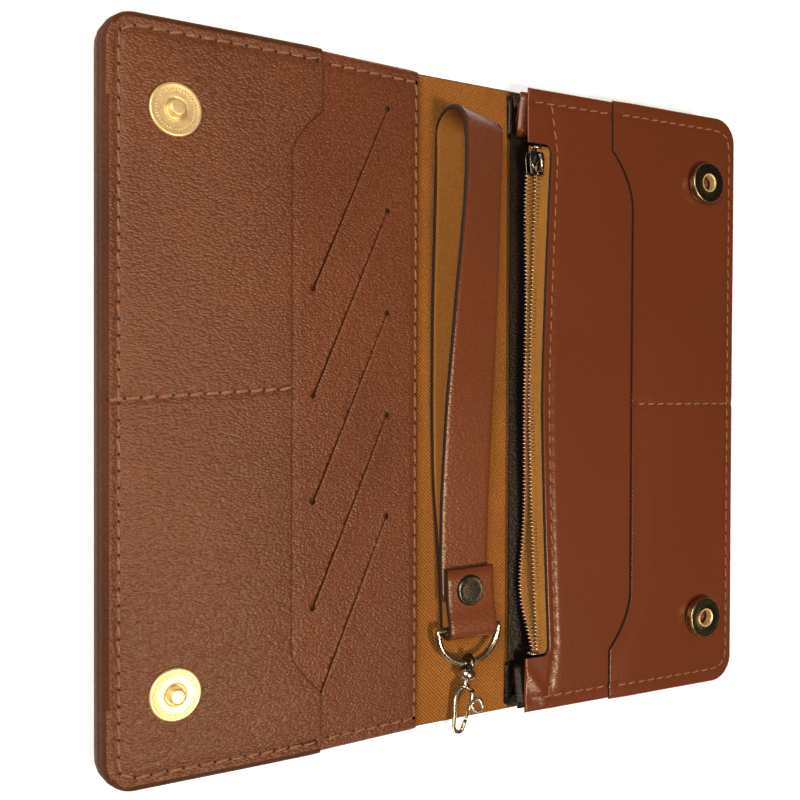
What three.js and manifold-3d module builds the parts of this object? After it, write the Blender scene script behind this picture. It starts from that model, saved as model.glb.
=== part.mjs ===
// A long bifold leather wallet for a phone, bank notes and cards, lying open.
// X runs across the open wallet (front cover at -X, rear cover at +X), Y along its
// length and Z up. The origin is under the middle of the spine. Millimetres.
import * as THREE from 'three';
import { mergeVertices } from 'three/addons/utils/BufferGeometryUtils.js';
import Module from 'manifold-3d';

const wasm = await Module();
wasm.setup();

// ---- Driving dimensions ----

const halfLength = 100;
const frontEdge = -112.6;
const rearEdge = 108.8;
const cornerRadius = 9;
const foldX = 13; // the two fold lines are at -foldX and +foldX
const foldGap = 0.3; // from a fold line to the nearest sheet

const leather = 1; // outer leather
const canvas = 0.4; // lining
const ply = 0.1; // air between two stacked sheets
const sew = 0.05; // air between a fitting and the leather it is set on
const above = 20; // higher than every part of the open wallet
const below = -1; // lower than its underside
const liningTop = leather + ply + canvas;

const liningFold = foldX - 2.1; // where the linings stop short of the fold
const liningStart = foldX + 0.9;

// Front cover: its inside is level under the pocket and falls towards the spine.
const pocketSheet = 1.1;
const pocketTop = 9.2;
const cardSheet = 0.9;
const cardTop = pocketTop - pocketSheet - ply;
const cardKink = -58;
const cardEdge = -16.7;
const cardEdgeTop = 4.7;
const backingSheet = 0.5;

// Both pockets' mouths: the level run, the dip and the two slanted steps between.
const frontMouth = { edge: -51, dip: -60.2, shoulder: 82, dipEnd: 71 };
const rearMouth = { edge: 53.5, dip: 62.3, shoulder: 83, dipEnd: 68 };

// The slits in the card panel, from the lower end of the topmost to its upper end.
const slitCount = 5;
const slitPitch = 30;
const slitLower = [-53.4, 32];
const slitUpper = [-28.6, 86.2];
const slitWidth = 0.5;
const slitPunch = 0.8; // radius of the hole at each end

// Rear cover: its outer edge lifts off the table, and its inside rises outwards.
const rearLift = 6;
const liftStart = 45;
const panelEdge = 20.4;
const panelSheet = 0.9;
const panelTopAtEdge = 9.4;
const panelTopAtSeam = 13.1;
const wallSheet = 0.6;
const billGapAtMouth = 1.3;
const billGapAtSeam = 0.9;

const snapX = 93.6;
const snapY = 75.7;
const snapRadius = 7;
const studRadius = 2.1;
const studHeight = 3.2;
const shankRadius = 1.4;
const shankHole = shankRadius + 0.3;
const washerRadius = 6;
const washerWell = washerRadius + 0.4; // cleared in the backing
const socketHole = 2.5;
const socketHeight = 2.5;
const socketTube = 3;
const tubeHole = socketTube + 0.5;

const zipHalf = 82;
const zipX = 24.2; // middle of the teeth
const toothWidth = 2.2;
const toothHeight = 0.9;
const frontRowZ = 8.55;
const backRowZ = 3.55;
const sliderY = 75.6;
const cutoutX = 29.4; // the panel's edge beside the zip, near its ends
const cutoutMiddle = 26.7; // and where it bows towards the teeth

const strapX = 0.3;
const strapWidth = 18;
const strapSheet = 1.5;
const ringX = 1;
const ringY = -70.5;
const ringZ = 5.3;
const wire = 1; // radius of the D-ring's wire
const ringHalf = 11.2;
const ringDepth = 10.9;
const rivetY = -58.4;

const claspYaw = THREE.MathUtils.degToRad(10.4); // from -Y towards -X
const claspRoll = THREE.MathUtils.degToRad(55); // of the hook's plane, up from level

const ends = [
  ['top', 1],
  ['bottom', -1],
];

// ---- Finishes ----

function finish(color, roughness, metalness = 0) {
  return new THREE.MeshStandardMaterial({ color, roughness, metalness });
}

const brownLeather = finish(0x6e3522, 0.55);
const redLeather = finish(0x6d331b, 0.5);
const blackLeather = finish(0x1a120d, 0.6);
const tanCanvas = finish(0x94581f, 0.95);
const foam = finish(0xd9d2c4, 0.95);
const tapeCloth = finish(0x9a6a2c, 0.9);
const goldMetal = finish(0xc9a765, 0.3, 1);
const darkMetal = finish(0x3a3630, 0.35, 1);
const nickel = finish(0xb9b2a2, 0.25, 1);

// ---- Solids ----

// A closed geometry as a solid that can be joined and cut.
function toSolid(geometry) {
  const bare = geometry.clone();
  bare.deleteAttribute('normal');
  bare.deleteAttribute('uv');
  const merged = mergeVertices(bare, 1e-4);
  const mesh = new wasm.Mesh({
    numProp: 3,
    vertProperties: new Float32Array(merged.attributes.position.array),
    triVerts: new Uint32Array(merged.index.array),
  });
  return new wasm.Manifold(mesh);
}

function toGeometry(solid) {
  const { vertProperties, triVerts } = solid.getMesh();
  const geometry = new THREE.BufferGeometry();
  geometry.setAttribute('position', new THREE.BufferAttribute(vertProperties, 3));
  geometry.setIndex(new THREE.BufferAttribute(triVerts, 1));
  geometry.computeVertexNormals();
  return geometry;
}

function cut(geometry, tools) {
  const solid = tools.reduce((rest, tool) => rest.subtract(toSolid(tool)), toSolid(geometry));
  return toGeometry(solid);
}

function join(geometries) {
  const [first, ...rest] = geometries.map(toSolid);
  return toGeometry(rest.reduce((sum, solid) => sum.add(solid), first));
}

function overlapOf(geometry, other) {
  return toGeometry(toSolid(geometry).intersect(toSolid(other)));
}

function box(low, high) {
  const size = high.map((value, i) => value - low[i]);
  const middle = high.map((value, i) => (value + low[i]) / 2);
  return new THREE.BoxGeometry(...size).translate(...middle);
}

function polygon(points) {
  return new THREE.Shape(points.map(([a, b]) => new THREE.Vector2(a, b)));
}

// An outline in X and Y, standing from one height to another.
function upright(outline, low, high) {
  const options = { depth: high - low, bevelEnabled: false, curveSegments: 6 };
  return new THREE.ExtrudeGeometry(outline, options).translate(0, 0, low);
}

// A polygon in X and Z, drawn out along the wallet's whole length.
function lengthwise(points) {
  const options = { depth: 2 * halfLength + 2, bevelEnabled: false };
  const geometry = new THREE.ExtrudeGeometry(polygon(points), options);
  return geometry.rotateX(Math.PI / 2).translate(0, halfLength + 1, 0);
}

// A polygon in Y and Z, drawn out along X.
function crosswise(points, from, to, steps = 1) {
  const options = { depth: to - from, bevelEnabled: false, steps };
  const turn = new THREE.Matrix4().makeBasis(
    new THREE.Vector3(0, 1, 0),
    new THREE.Vector3(0, 0, 1),
    new THREE.Vector3(1, 0, 0),
  );
  const geometry = new THREE.ExtrudeGeometry(polygon(points), options);
  return geometry.applyMatrix4(turn).translate(from, 0, 0);
}

function post(radius, x, y, low, high, sides = 24) {
  const geometry = new THREE.CylinderGeometry(radius, radius, high - low, sides);
  return geometry.rotateX(Math.PI / 2).translate(x, y, (low + high) / 2);
}

// One tool for each snap of a row, right through the sheets there.
function snapHoles(radius, x) {
  return ends.map(([, side]) => post(radius, x, side * snapY, 0, above));
}

function spread(from, to, count) {
  return Array.from({ length: count + 1 }, (_, i) => from + ((to - from) * i) / count);
}

// A sheet that follows a height along X, trimmed to an outline seen from above.
function sheet(stations, under, thickness, outline) {
  const lower = stations.map((x) => [x, under(x)]);
  const upper = stations.map((x) => [x, under(x) + thickness]);
  const profile = lengthwise([...lower, ...upper.reverse()]);
  return overlapOf(profile, upright(outline, below, above));
}

// ---- Outlines seen from above ----

function coverOutline(innerX, outerX, half, radius) {
  const side = Math.sign(outerX - innerX);
  const shape = new THREE.Shape();
  shape.moveTo(innerX, -half);
  shape.lineTo(outerX - side * radius, -half);
  shape.quadraticCurveTo(outerX, -half, outerX, -half + radius);
  shape.lineTo(outerX, half - radius);
  shape.quadraticCurveTo(outerX, half, outerX - side * radius, half);
  shape.lineTo(innerX, half);
  return shape;
}

// A pocket whose mouth dips away from the spine between two slanted steps.
function pocketOutline(mouth, outerX, half, radius) {
  const shape = coverOutline(mouth.edge, outerX, half, radius);
  shape.lineTo(mouth.edge, mouth.shoulder);
  shape.lineTo(mouth.dip, mouth.dipEnd);
  shape.lineTo(mouth.dip, -mouth.dipEnd);
  shape.lineTo(mouth.edge, -mouth.shoulder);
  return shape;
}

// ---- Heights ----

function cardUnder(x) {
  const along = Math.max(0, (x - cardKink) / (cardEdge - cardKink));
  return cardTop - cardSheet - (cardTop - cardEdgeTop) * along;
}

function rearFloor(x) {
  const along = Math.max(0, (x - liftStart) / (rearEdge - liftStart));
  return rearLift * along * along;
}

function acrossRear(x, atMouth, atSeam) {
  return atMouth + ((atSeam - atMouth) * (x - panelEdge)) / (rearEdge - panelEdge);
}

const billFloor = (x) => rearFloor(x) + liningTop;
const wallUnder = (x) => billFloor(x) + acrossRear(x, billGapAtMouth, billGapAtSeam);
const wallTop = (x) => wallUnder(x) + wallSheet;
const panelTop = (x) => acrossRear(x, panelTopAtEdge, panelTopAtSeam);
const panelUnder = (x) => panelTop(x) - panelSheet;
const panelSlope = Math.atan((panelTopAtSeam - panelTopAtEdge) / (rearEdge - panelEdge));

// ---- Assembly ----

const wallet = new THREE.Group();

function place(parent, name, geometry, material) {
  const mesh = new THREE.Mesh(geometry, material);
  mesh.name = name;
  parent.add(mesh);
  return mesh;
}

// The outer leather is one sheet on the real object; here it parts at the folds.
function buildSpine() {
  const half = foldX - foldGap;
  const outer = box([-half, -halfLength, 0], [half, halfLength, leather]);
  place(wallet, 'spine_leather', outer, brownLeather);
  const low = [-liningFold, 0.5 - halfLength, leather + ply];
  const high = [liningFold, halfLength - 0.5, liningTop];
  place(wallet, 'spine_lining', box(low, high), tanCanvas);
}

function buildFrontShell() {
  const wall = 1;
  const rimGap = 0.3;
  const foldEdge = -foldX - foldGap;
  const cover = coverOutline(foldEdge, frontEdge, halfLength, cornerRadius);
  const inside = coverOutline(0, frontEdge + wall, halfLength - wall, cornerRadius - wall);
  const edgeTop = (x) => cardUnder(x) - ply;
  const block = lengthwise([
    [frontEdge - 1, 0],
    [foldEdge, 0],
    [foldEdge, leather],
    [cardEdge, leather],
    [cardEdge, edgeTop(cardEdge)],
    [cardKink, edgeTop(cardKink)],
    [frontEdge - 1, edgeTop(cardKink)],
  ]);
  const hollow = upright(inside, leather, above);
  const tray = cut(overlapOf(block, upright(cover, below, above)), [hollow]);
  place(wallet, 'front_cover_leather', tray, brownLeather);

  const inset = wall + rimGap;
  const insetOutline = (innerX) => {
    const half = halfLength - inset;
    return coverOutline(innerX, frontEdge + inset, half, cornerRadius - inset);
  };
  const lined = insetOutline(-liningStart);
  place(wallet, 'front_lining', upright(lined, leather + ply, liningTop), tanCanvas);

  const stations = [frontEdge, cardKink, cardEdge - 1];
  const core = insetOutline(cardEdge - 1);
  const backingUnder = (x) => cardUnder(x) - ply - backingSheet;
  const wedge = lengthwise([
    [frontEdge, liningTop + ply],
    [cardEdge - 1, liningTop + ply],
    ...[...stations].reverse().map((x) => [x, backingUnder(x) - ply]),
  ]);
  const padding = overlapOf(wedge, upright(core, below, above));
  place(wallet, 'front_padding', padding, foam);

  const backing = sheet(stations, backingUnder, backingSheet, core);
  place(wallet, 'card_backing', cut(backing, snapHoles(washerWell, -snapX)), tanCanvas);
}

// The slanted slits, each between two punched holes.
function buildCardPanel() {
  const run = [slitUpper[0] - slitLower[0], slitUpper[1] - slitLower[1]];
  const turn = Math.atan2(run[1], run[0]);
  const tools = snapHoles(shankHole, -snapX);
  for (let i = 0; i < slitCount; i += 1) {
    const [lowX, lowY] = [slitLower[0], slitLower[1] - i * slitPitch];
    const [highX, highY] = [slitUpper[0], slitUpper[1] - i * slitPitch];
    const blade = new THREE.BoxGeometry(Math.hypot(...run), slitWidth, above);
    tools.push(blade.rotateZ(turn).translate((lowX + highX) / 2, (lowY + highY) / 2, cardTop));
    tools.push(post(slitPunch, lowX, lowY, 0, above, 10));
    tools.push(post(slitPunch, highX, highY, 0, above, 10));
  }
  const inset = 0.3;
  const outline = coverOutline(cardEdge, frontEdge + inset, halfLength - inset, cornerRadius);
  const panel = sheet([frontEdge, cardKink, cardEdge], cardUnder, cardSheet, outline);
  place(wallet, 'card_panel', cut(panel, tools), brownLeather);
}

function buildFrontPocket() {
  const inset = 0.3;
  const outline = pocketOutline(frontMouth, frontEdge + inset, halfLength - inset, cornerRadius);
  const whole = upright(outline, pocketTop - pocketSheet, pocketTop);
  place(wallet, 'front_pocket', cut(whole, snapHoles(shankHole, -snapX)), brownLeather);
}

function lathe(profile, sides = 32) {
  const points = profile.map(([r, z]) => new THREE.Vector2(r, z));
  return new THREE.LatheGeometry(points, sides).rotateX(Math.PI / 2);
}

function ring(inner, outer, low, high) {
  const profile = [
    [inner, low],
    [outer, low],
    [outer, high],
    [inner, high],
    [inner, low],
  ];
  return lathe(profile);
}

// A plate with a stud; its shank goes through the leather to a washer.
function buildMaleSnap(name, side) {
  const washer = 0.4;
  const through = pocketTop - cardTop + cardSheet + ply + washer + sew;
  const snap = new THREE.Group();
  snap.position.set(-snapX, side * snapY, pocketTop + sew);
  wallet.add(snap);
  const plate = lathe([
    [0, -through],
    [shankRadius, -through],
    [shankRadius, 0],
    [snapRadius, 0],
    [snapRadius, 0.7],
    [snapRadius - 0.4, 1],
    [studRadius, 1],
    [studRadius, studHeight - 0.4],
    [studRadius - 0.4, studHeight],
    [0, studHeight],
  ]);
  place(snap, `male_snap_${name}`, plate, goldMetal);
  const backPlate = ring(shankRadius + 0.2, washerRadius, -through, washer - through);
  place(snap, `male_washer_${name}`, backPlate, nickel);
}

// A cup over a ring magnet; its tube goes through both panels to a washer.
function buildSocket(name, side) {
  const tube = socketTube;
  const cup = 0.6;
  const washer = 0.4;
  const through = 2 * panelSheet + 2 * ply + washer + 2 * sew;
  const stand = 0.3; // the cup's rim above the sloping pocket
  const socket = new THREE.Group();
  socket.position.set(snapX, side * snapY, panelTop(snapX) + panelSheet + ply + stand);
  socket.rotation.y = -panelSlope;
  wallet.add(socket);
  const casing = lathe([
    [socketHole, -through],
    [tube, -through],
    [tube, socketHeight - cup],
    [snapRadius - cup, socketHeight - cup],
    [snapRadius - cup, 0],
    [snapRadius, 0],
    [snapRadius, socketHeight - 0.4],
    [snapRadius - 0.4, socketHeight],
    [socketHole + 0.3, socketHeight],
    [socketHole, socketHeight - 0.3],
    [socketHole, -through],
  ]);
  place(socket, `socket_casing_${name}`, casing, darkMetal);
  const magnet = ring(tube + 0.2, snapRadius - cup - 0.2, 0, socketHeight - cup - 0.2);
  place(socket, `socket_magnet_${name}`, magnet, darkMetal);
  const plate = ring(tube + 0.3, washerRadius, -through - washer, -through);
  place(socket, `socket_washer_${name}`, plate, nickel);
}

function buildRearShell() {
  const stations = [foldX + foldGap, ...spread(liftStart, rearEdge, 6)];
  const outline = coverOutline(foldX + foldGap, rearEdge, halfLength, cornerRadius);
  place(wallet, 'rear_cover_leather', sheet(stations, rearFloor, leather, outline), brownLeather);

  const inset = 1;
  const lined = coverOutline(liningStart, rearEdge - inset, halfLength - inset, cornerRadius);
  const liningStations = [liningStart, ...spread(liftStart, rearEdge - inset, 6)];
  const lining = sheet(liningStations, (x) => rearFloor(x) + leather + ply, canvas, lined);
  place(wallet, 'rear_lining', lining, tanCanvas);
}

// A folded strip at one end of a compartment. Its V is drawn in Y and in the
// share of the compartment's depth, then fitted between floor and ceiling.
function foldedStrip(side, from, to, floor, ceiling, layer) {
  const open = halfLength - 2;
  const folded = halfLength - 15.5;
  const clear = 0.05;
  const middle = 0.5;
  const outline = [
    [open, clear],
    [folded, middle - layer / 2],
    [folded, middle + layer / 2],
    [open, 1 - clear],
    [open, 1 - clear - layer],
    [folded + 2.5, middle],
    [open, clear + layer],
  ];
  const strip = crosswise(outline.map(([y, share]) => [side * y, share]), from, to, 8);
  const position = strip.attributes.position;
  for (let i = 0; i < position.count; i += 1) {
    const x = position.getX(i);
    const share = position.getZ(i);
    position.setZ(i, floor(x) + share * (ceiling(x) - floor(x)));
  }
  return strip;
}

function buildGussets() {
  const seam = rearEdge - 8;
  for (const [name, side] of ends) {
    const bill = foldedStrip(side, foldX + 2.8, seam, billFloor, wallUnder, 0.27);
    place(wallet, `bill_gusset_${name}`, bill, blackLeather);
    const pouch = foldedStrip(side, foldX + 4.6, seam, wallTop, panelUnder, 0.12);
    place(wallet, `pouch_gusset_${name}`, pouch, blackLeather);
  }
}

function buildPouch() {
  const inset = 0.7;
  const radius = cornerRadius - inset;
  const seamX = rearEdge - inset;
  const mouthX = zipX + toothWidth;
  const stations = [mouthX, ...spread(liftStart, seamX - 1, 6)];
  const wallOutline = coverOutline(mouthX, seamX - 1, halfLength - 1.5, radius);
  place(wallet, 'pouch_back_wall', sheet(stations, wallUnder, wallSheet, wallOutline), blackLeather);

  const turn = 3; // of the cut-out's corners
  const outline = coverOutline(panelEdge, seamX, halfLength - inset, radius);
  outline.lineTo(panelEdge, zipHalf);
  outline.lineTo(cutoutX - turn, zipHalf);
  outline.quadraticCurveTo(cutoutX, zipHalf, cutoutX, zipHalf - turn);
  outline.quadraticCurveTo(cutoutMiddle - 1.5, 0, cutoutX, turn - zipHalf);
  outline.quadraticCurveTo(cutoutX, -zipHalf, cutoutX - turn, -zipHalf);
  outline.lineTo(panelEdge, -zipHalf);
  const panel = sheet([panelEdge, seamX], panelUnder, panelSheet, outline);
  place(wallet, 'pouch_front_panel', cut(panel, snapHoles(tubeHole, snapX)), redLeather);

  const pocket = pocketOutline(rearMouth, seamX + 0.3, halfLength - 0.4, radius);
  const pocketUnder = (x) => panelTop(x) + ply;
  const patch = sheet([rearMouth.edge - 3, rearEdge], pocketUnder, panelSheet, pocket);
  place(wallet, 'rear_pocket', cut(patch, snapHoles(tubeHole, snapX)), redLeather);
}

function buildZip() {
  const tapeWidth = 10;
  const tape = 0.3;
  const reach = zipHalf - 2;
  const rows = [
    ['front', frontRowZ],
    ['back', backRowZ],
  ];
  for (const [name, z] of rows) {
    const inner = zipX + toothWidth / 2;
    const outer = zipX - toothWidth / 2;
    const halfTooth = toothHeight / 2;
    const row = box([outer, -reach, z - halfTooth], [inner, reach, z + halfTooth]);
    place(wallet, `zip_teeth_${name}`, row, nickel);
    const low = [inner + 0.1, -reach, z - tape / 2];
    const high = [inner + tapeWidth, reach, z + tape / 2];
    place(wallet, `zip_tape_${name}`, box(low, high), tapeCloth);
  }
  for (const [name, side] of ends) {
    const y = side * (reach + 0.8);
    const low = [zipX - 1.3, y - 0.6, backRowZ - 0.4];
    place(wallet, `zip_stop_${name}`, box(low, [zipX + 1.3, y + 0.6, frontRowZ + 0.4]), nickel);
  }
}

// The slider wraps the front row; the pull's bar turns under the slider's bridge.
function buildSlider() {
  const halfBody = 3.8;
  const left = zipX - 3.4;
  const right = zipX + 2;
  const lowSide = frontRowZ - 1.5;
  const topFace = frontRowZ + 1.5;
  const body = box([left, sliderY - halfBody, lowSide], [right, sliderY + halfBody, topFace]);
  const channel = box(
    [zipX - 1.7, sliderY - 10, frontRowZ - 0.75],
    [right + 1, sliderY + 10, frontRowZ + 0.75],
  );
  const bridgeTop = topFace + 2.3;
  const bridge = box(
    [zipX - 0.7, sliderY - 2.7, topFace - 0.2],
    [zipX + 0.7, sliderY + 2.7, bridgeTop],
  );
  const under = box(
    [zipX - 2, sliderY - 1.8, topFace],
    [zipX + 2, sliderY + 1.8, bridgeTop - 0.7],
  );
  const slider = cut(join([body, cut(bridge, [under])]), [channel]);
  place(wallet, 'zip_slider', slider, darkMetal);

  const hingeZ = topFace + 0.8;
  const pullHalf = 2.3;
  const tab = box(
    [zipX - pullHalf, sliderY - 9, hingeZ - 0.4],
    [zipX + pullHalf, sliderY + 0.5, hingeZ + 0.4],
  );
  const eye = box(
    [zipX - 1.3, sliderY - 4.1, hingeZ - 2],
    [zipX + 1.3, sliderY - 0.5, hingeZ + 2],
  );
  place(wallet, 'zip_pull', cut(tab, [eye]), darkMetal);
}

// The strap's middle line in Y and Z, from the riveted tab round the D-ring's bar,
// back along the spine, round the top fold and down again to the rivet.
function strapLine() {
  const lie = liningTop + ply + strapSheet / 2;
  const line = new THREE.CurvePath();
  const at = (y, z) => new THREE.Vector2(y, z);
  const wrap = (ringZ + wire + 0.3 + strapSheet / 2 - lie) / 2;
  const barZ = lie + wrap;
  const clamped = lie + 2 * (strapSheet + 0.2) + 0.3;
  const bend = (...points) => new THREE.CubicBezierCurve(...points.map((point) => at(...point)));
  const foldR = 5.5;
  const foldY = 81;
  const crest = lie + 2 * foldR;
  line.add(new THREE.LineCurve(at(-51.6, clamped), at(rivetY - 2, clamped)));
  line.add(bend([rivetY - 2, clamped], [-66, clamped], [-66, barZ + wrap], [ringY, barZ + wrap]));
  const round = wrap * 1.3;
  line.add(bend([ringY, barZ + wrap], [ringY - round, barZ + wrap], [ringY - round, lie], [ringY, lie]));
  line.add(new THREE.LineCurve(at(ringY, lie), at(foldY, lie)));
  const nose = foldR * 1.3;
  line.add(bend([foldY, lie], [foldY + nose, lie], [foldY + nose, crest], [foldY, crest]));
  const nip = lie + strapSheet + 0.2;
  line.add(bend([foldY, crest], [20, crest - 1], [-20, nip + 1], [-50, nip]));
  line.add(new THREE.LineCurve(at(-50, nip), at(rivetY - 3, nip)));
  return line;
}

function bandOutline(line, thickness, divisions) {
  const centre = line.getPoints(divisions);
  const inner = [];
  const outer = [];
  centre.forEach((point, i) => {
    const before = centre[Math.max(0, i - 1)];
    const after = centre[Math.min(centre.length - 1, i + 1)];
    const side = new THREE.Vector2(before.y - after.y, after.x - before.x);
    side.setLength(thickness / 2);
    inner.push([point.x + side.x, point.y + side.y]);
    outer.push([point.x - side.x, point.y - side.y]);
  });
  return [...inner, ...outer.reverse()];
}

function buildStrap() {
  const half = strapWidth / 2;
  const band = crosswise(bandOutline(strapLine(), strapSheet, 10), strapX - half, strapX + half);
  const low = liningTop + ply;
  const layers = 3 * strapSheet + 0.7;
  const tabTop = low + layers;
  const holes = [
    post(1.6, strapX, rivetY, 0, above),
    post(3.7, strapX, rivetY, 0, low + 0.6),
  ];
  place(wallet, 'strap_leather', cut(band, holes), brownLeather);
  const headGap = 0.2;
  const foot = [
    [0, 0],
    [3.4, 0],
    [3.4, 0.4],
    [1.3, 0.4],
    [1.3, layers],
    [0, layers],
  ];
  place(wallet, 'rivet_post', lathe(foot, 24).translate(strapX, rivetY, low), darkMetal);
  const cap = [
    [0, 0],
    [4.75, 0],
    [4.75, 0.6],
    [4.1, 1.2],
    [2, 1.5],
    [0, 1.5],
  ];
  place(wallet, 'rivet_cap', lathe(cap, 32).translate(strapX, rivetY, tabTop + headGap), darkMetal);
}

function buildRing() {
  const hoop = new THREE.TorusGeometry(ringHalf, wire, 8, 40).scale(1, ringDepth / ringHalf, 1);
  const lower = box([-20, -20, -3], [20, 0, 3]);
  const bar = new THREE.CylinderGeometry(wire, wire, 2 * ringHalf, 8).rotateZ(Math.PI / 2);
  const elbow = new THREE.SphereGeometry(wire, 8, 6);
  const elbows = [-1, 1].map((side) => elbow.clone().translate(side * ringHalf, 0, 0));
  const whole = join([overlapOf(hoop, lower), bar, ...elbows]);
  place(wallet, 'd_ring', whole.translate(ringX, ringY, ringZ), nickel);
}

// The clasp's own frame: X along it away from the D-ring, Y towards the lever's
// side, Z through its thickness, with the D-ring's wire at the origin.
function claspFrame() {
  const along = new THREE.Vector3(-Math.sin(claspYaw), -Math.cos(claspYaw), 0);
  const level = new THREE.Vector3(Math.cos(claspYaw), -Math.sin(claspYaw), 0);
  const up = new THREE.Vector3(0, 0, 1);
  const across = level.clone().multiplyScalar(Math.cos(claspRoll));
  across.addScaledVector(up, Math.sin(claspRoll));
  const through = new THREE.Vector3().crossVectors(along, across);
  const group = new THREE.Group();
  group.setRotationFromMatrix(new THREE.Matrix4().makeBasis(along, across, through));
  group.position.set(ringX, ringY - ringDepth, ringZ);
  return group;
}

function rod(radius, from, to, sides = 16) {
  const geometry = new THREE.CylinderGeometry(radius, radius, to - from, sides);
  return geometry.rotateZ(-Math.PI / 2).translate((from + to) / 2, 0, 0);
}

// A rounded bar outline along X, with full round ends.
function roundBar(from, to, half) {
  const shape = new THREE.Shape();
  shape.moveTo(from, -half);
  shape.lineTo(to, -half);
  shape.absarc(to, 0, half, -Math.PI / 2, Math.PI / 2);
  shape.lineTo(from, half);
  shape.absarc(from, 0, half, Math.PI / 2, 1.5 * Math.PI);
  return shape;
}

function slab(outline, thickness) {
  return upright(outline, -thickness / 2, thickness / 2);
}

function buildClasp() {
  const clasp = claspFrame();
  wallet.add(clasp);
  const wirePlay = 0.35;
  const eyeRadius = wire + wirePlay;
  const collarFrom = 2.2;
  const collarTo = 5.4;
  const shank = 1;
  const eyeBar = 1.1;

  // The eye stands across the wire, so it is turned back level with the ring.
  const loop = new THREE.TorusGeometry(eyeRadius + eyeBar / 2 + 0.2, eyeBar / 2, 8, 20);
  loop.rotateX(Math.PI / 2 - claspRoll);
  const bore = rod(shank + 0.3, collarFrom + 0.7, collarTo + 1);
  const collar = cut(rod(2.4, collarFrom - 0.3, collarTo), [bore]);
  place(clasp, 'clasp_eye', join([loop, collar]), darkMetal);

  const throatHalf = 2.3;
  const bodyHalf = throatHalf + 1.2;
  const throatFrom = 10.2;
  const throatTo = 18.5;
  const thickness = 2.4;
  const gateFrom = 9.3;
  const gateTo = 17.3;
  const outer = slab(roundBar(throatFrom - 1.2, throatTo, bodyHalf), thickness);
  const inner = slab(roundBar(throatFrom, throatTo, throatHalf), thickness + 2);
  const gate = box([gateFrom, throatHalf - 0.6, -3], [gateTo, bodyHalf + 1, 3]);
  const neck = rod(shank, collarFrom + 1, throatFrom - 3);
  const pivot = [throatFrom - 1.9, throatHalf + 0.5];
  const fork = box([pivot[0] - 1.1, pivot[1] - 1.5, -0.9], [gateFrom + 0.5, bodyHalf + 1, 0.9]);
  const pinHole = post(0.55, pivot[0], pivot[1], -3, 3, 12);
  const hook = cut(join([outer, neck]), [inner, gate, fork, pinHole]);
  place(clasp, 'clasp_hook', hook, nickel);

  const leverHalf = 0.6;
  const arm = box(
    [pivot[0] - 0.7, pivot[1] - leverHalf, -leverHalf],
    [gateTo - 0.3, pivot[1] + leverHalf, leverHalf],
  );
  const thumb = new THREE.TorusGeometry(1.6, 0.6, 8, 16).translate(pivot[0] + 3.6, pivot[1] + 2.3, 0);
  const boss = post(1, pivot[0], pivot[1], -leverHalf, leverHalf, 16);
  const lever = cut(join([arm, boss, thumb]), [pinHole]);
  place(clasp, 'clasp_lever', lever, nickel);
  const pin = post(0.4, pivot[0], pivot[1], -thickness / 2, thickness / 2, 12);
  place(clasp, 'lever_pin', pin, darkMetal);
}

buildRearShell();
buildGussets();
buildSpine();
buildFrontShell();
buildCardPanel();
buildFrontPocket();
for (const [name, side] of ends) {
  buildMaleSnap(name, side);
  buildSocket(name, side);
}
buildPouch();
buildZip();
buildSlider();
buildStrap();
buildRing();
buildClasp();

export default wallet;
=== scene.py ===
"""A long bifold leather wallet lying open: the looks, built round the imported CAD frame.

Lengths inside the builders are millimetres in the row frame; mesh_object turns them into metres.
"""

import math

import bmesh
import bpy
import numpy as np
from mathutils import Matrix, Vector


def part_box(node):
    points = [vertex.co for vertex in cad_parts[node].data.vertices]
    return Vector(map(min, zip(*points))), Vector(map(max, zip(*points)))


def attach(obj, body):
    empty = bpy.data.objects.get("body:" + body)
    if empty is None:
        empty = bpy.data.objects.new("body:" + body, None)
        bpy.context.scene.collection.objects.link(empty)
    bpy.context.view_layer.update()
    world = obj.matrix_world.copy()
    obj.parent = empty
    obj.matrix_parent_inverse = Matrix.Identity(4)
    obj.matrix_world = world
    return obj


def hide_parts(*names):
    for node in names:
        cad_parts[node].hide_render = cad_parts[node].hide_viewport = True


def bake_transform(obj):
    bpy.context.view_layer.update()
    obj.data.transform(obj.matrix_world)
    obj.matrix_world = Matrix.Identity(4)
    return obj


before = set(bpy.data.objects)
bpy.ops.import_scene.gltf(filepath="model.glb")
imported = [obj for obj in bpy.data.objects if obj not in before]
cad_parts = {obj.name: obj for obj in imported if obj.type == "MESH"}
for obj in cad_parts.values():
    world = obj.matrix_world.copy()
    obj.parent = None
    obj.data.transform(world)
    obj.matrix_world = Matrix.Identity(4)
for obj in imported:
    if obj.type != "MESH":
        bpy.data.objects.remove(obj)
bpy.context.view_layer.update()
scene = bpy.context.scene
scene.view_settings.view_transform = "Standard"

MM = 0.001
ROOM_LEVEL = 0.05  # how bright the room is above the horizon


# ---------------------------------------------------------------- camera, light, floor


def add_camera():
    """A hand-held view from over the front cover's outer edge, 26 cm up."""
    eye = Vector((-0.17086, 0.00444, 0.25947))
    forward = Vector((0.5004, -0.0133, -0.8657)).normalized()
    page_up = Vector((0.0034, 0.9999, -0.0134))
    right = forward.cross(page_up).normalized()
    up = right.cross(forward)
    data = bpy.data.cameras.new("camera")
    data.sensor_width = 36
    data.lens = 44.33
    camera = bpy.data.objects.new("camera", data)
    turn = Matrix((right, up, -forward)).transposed().to_4x4()
    camera.matrix_world = Matrix.Translation(eye) @ turn
    scene.collection.objects.link(camera)
    scene.camera = camera


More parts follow.
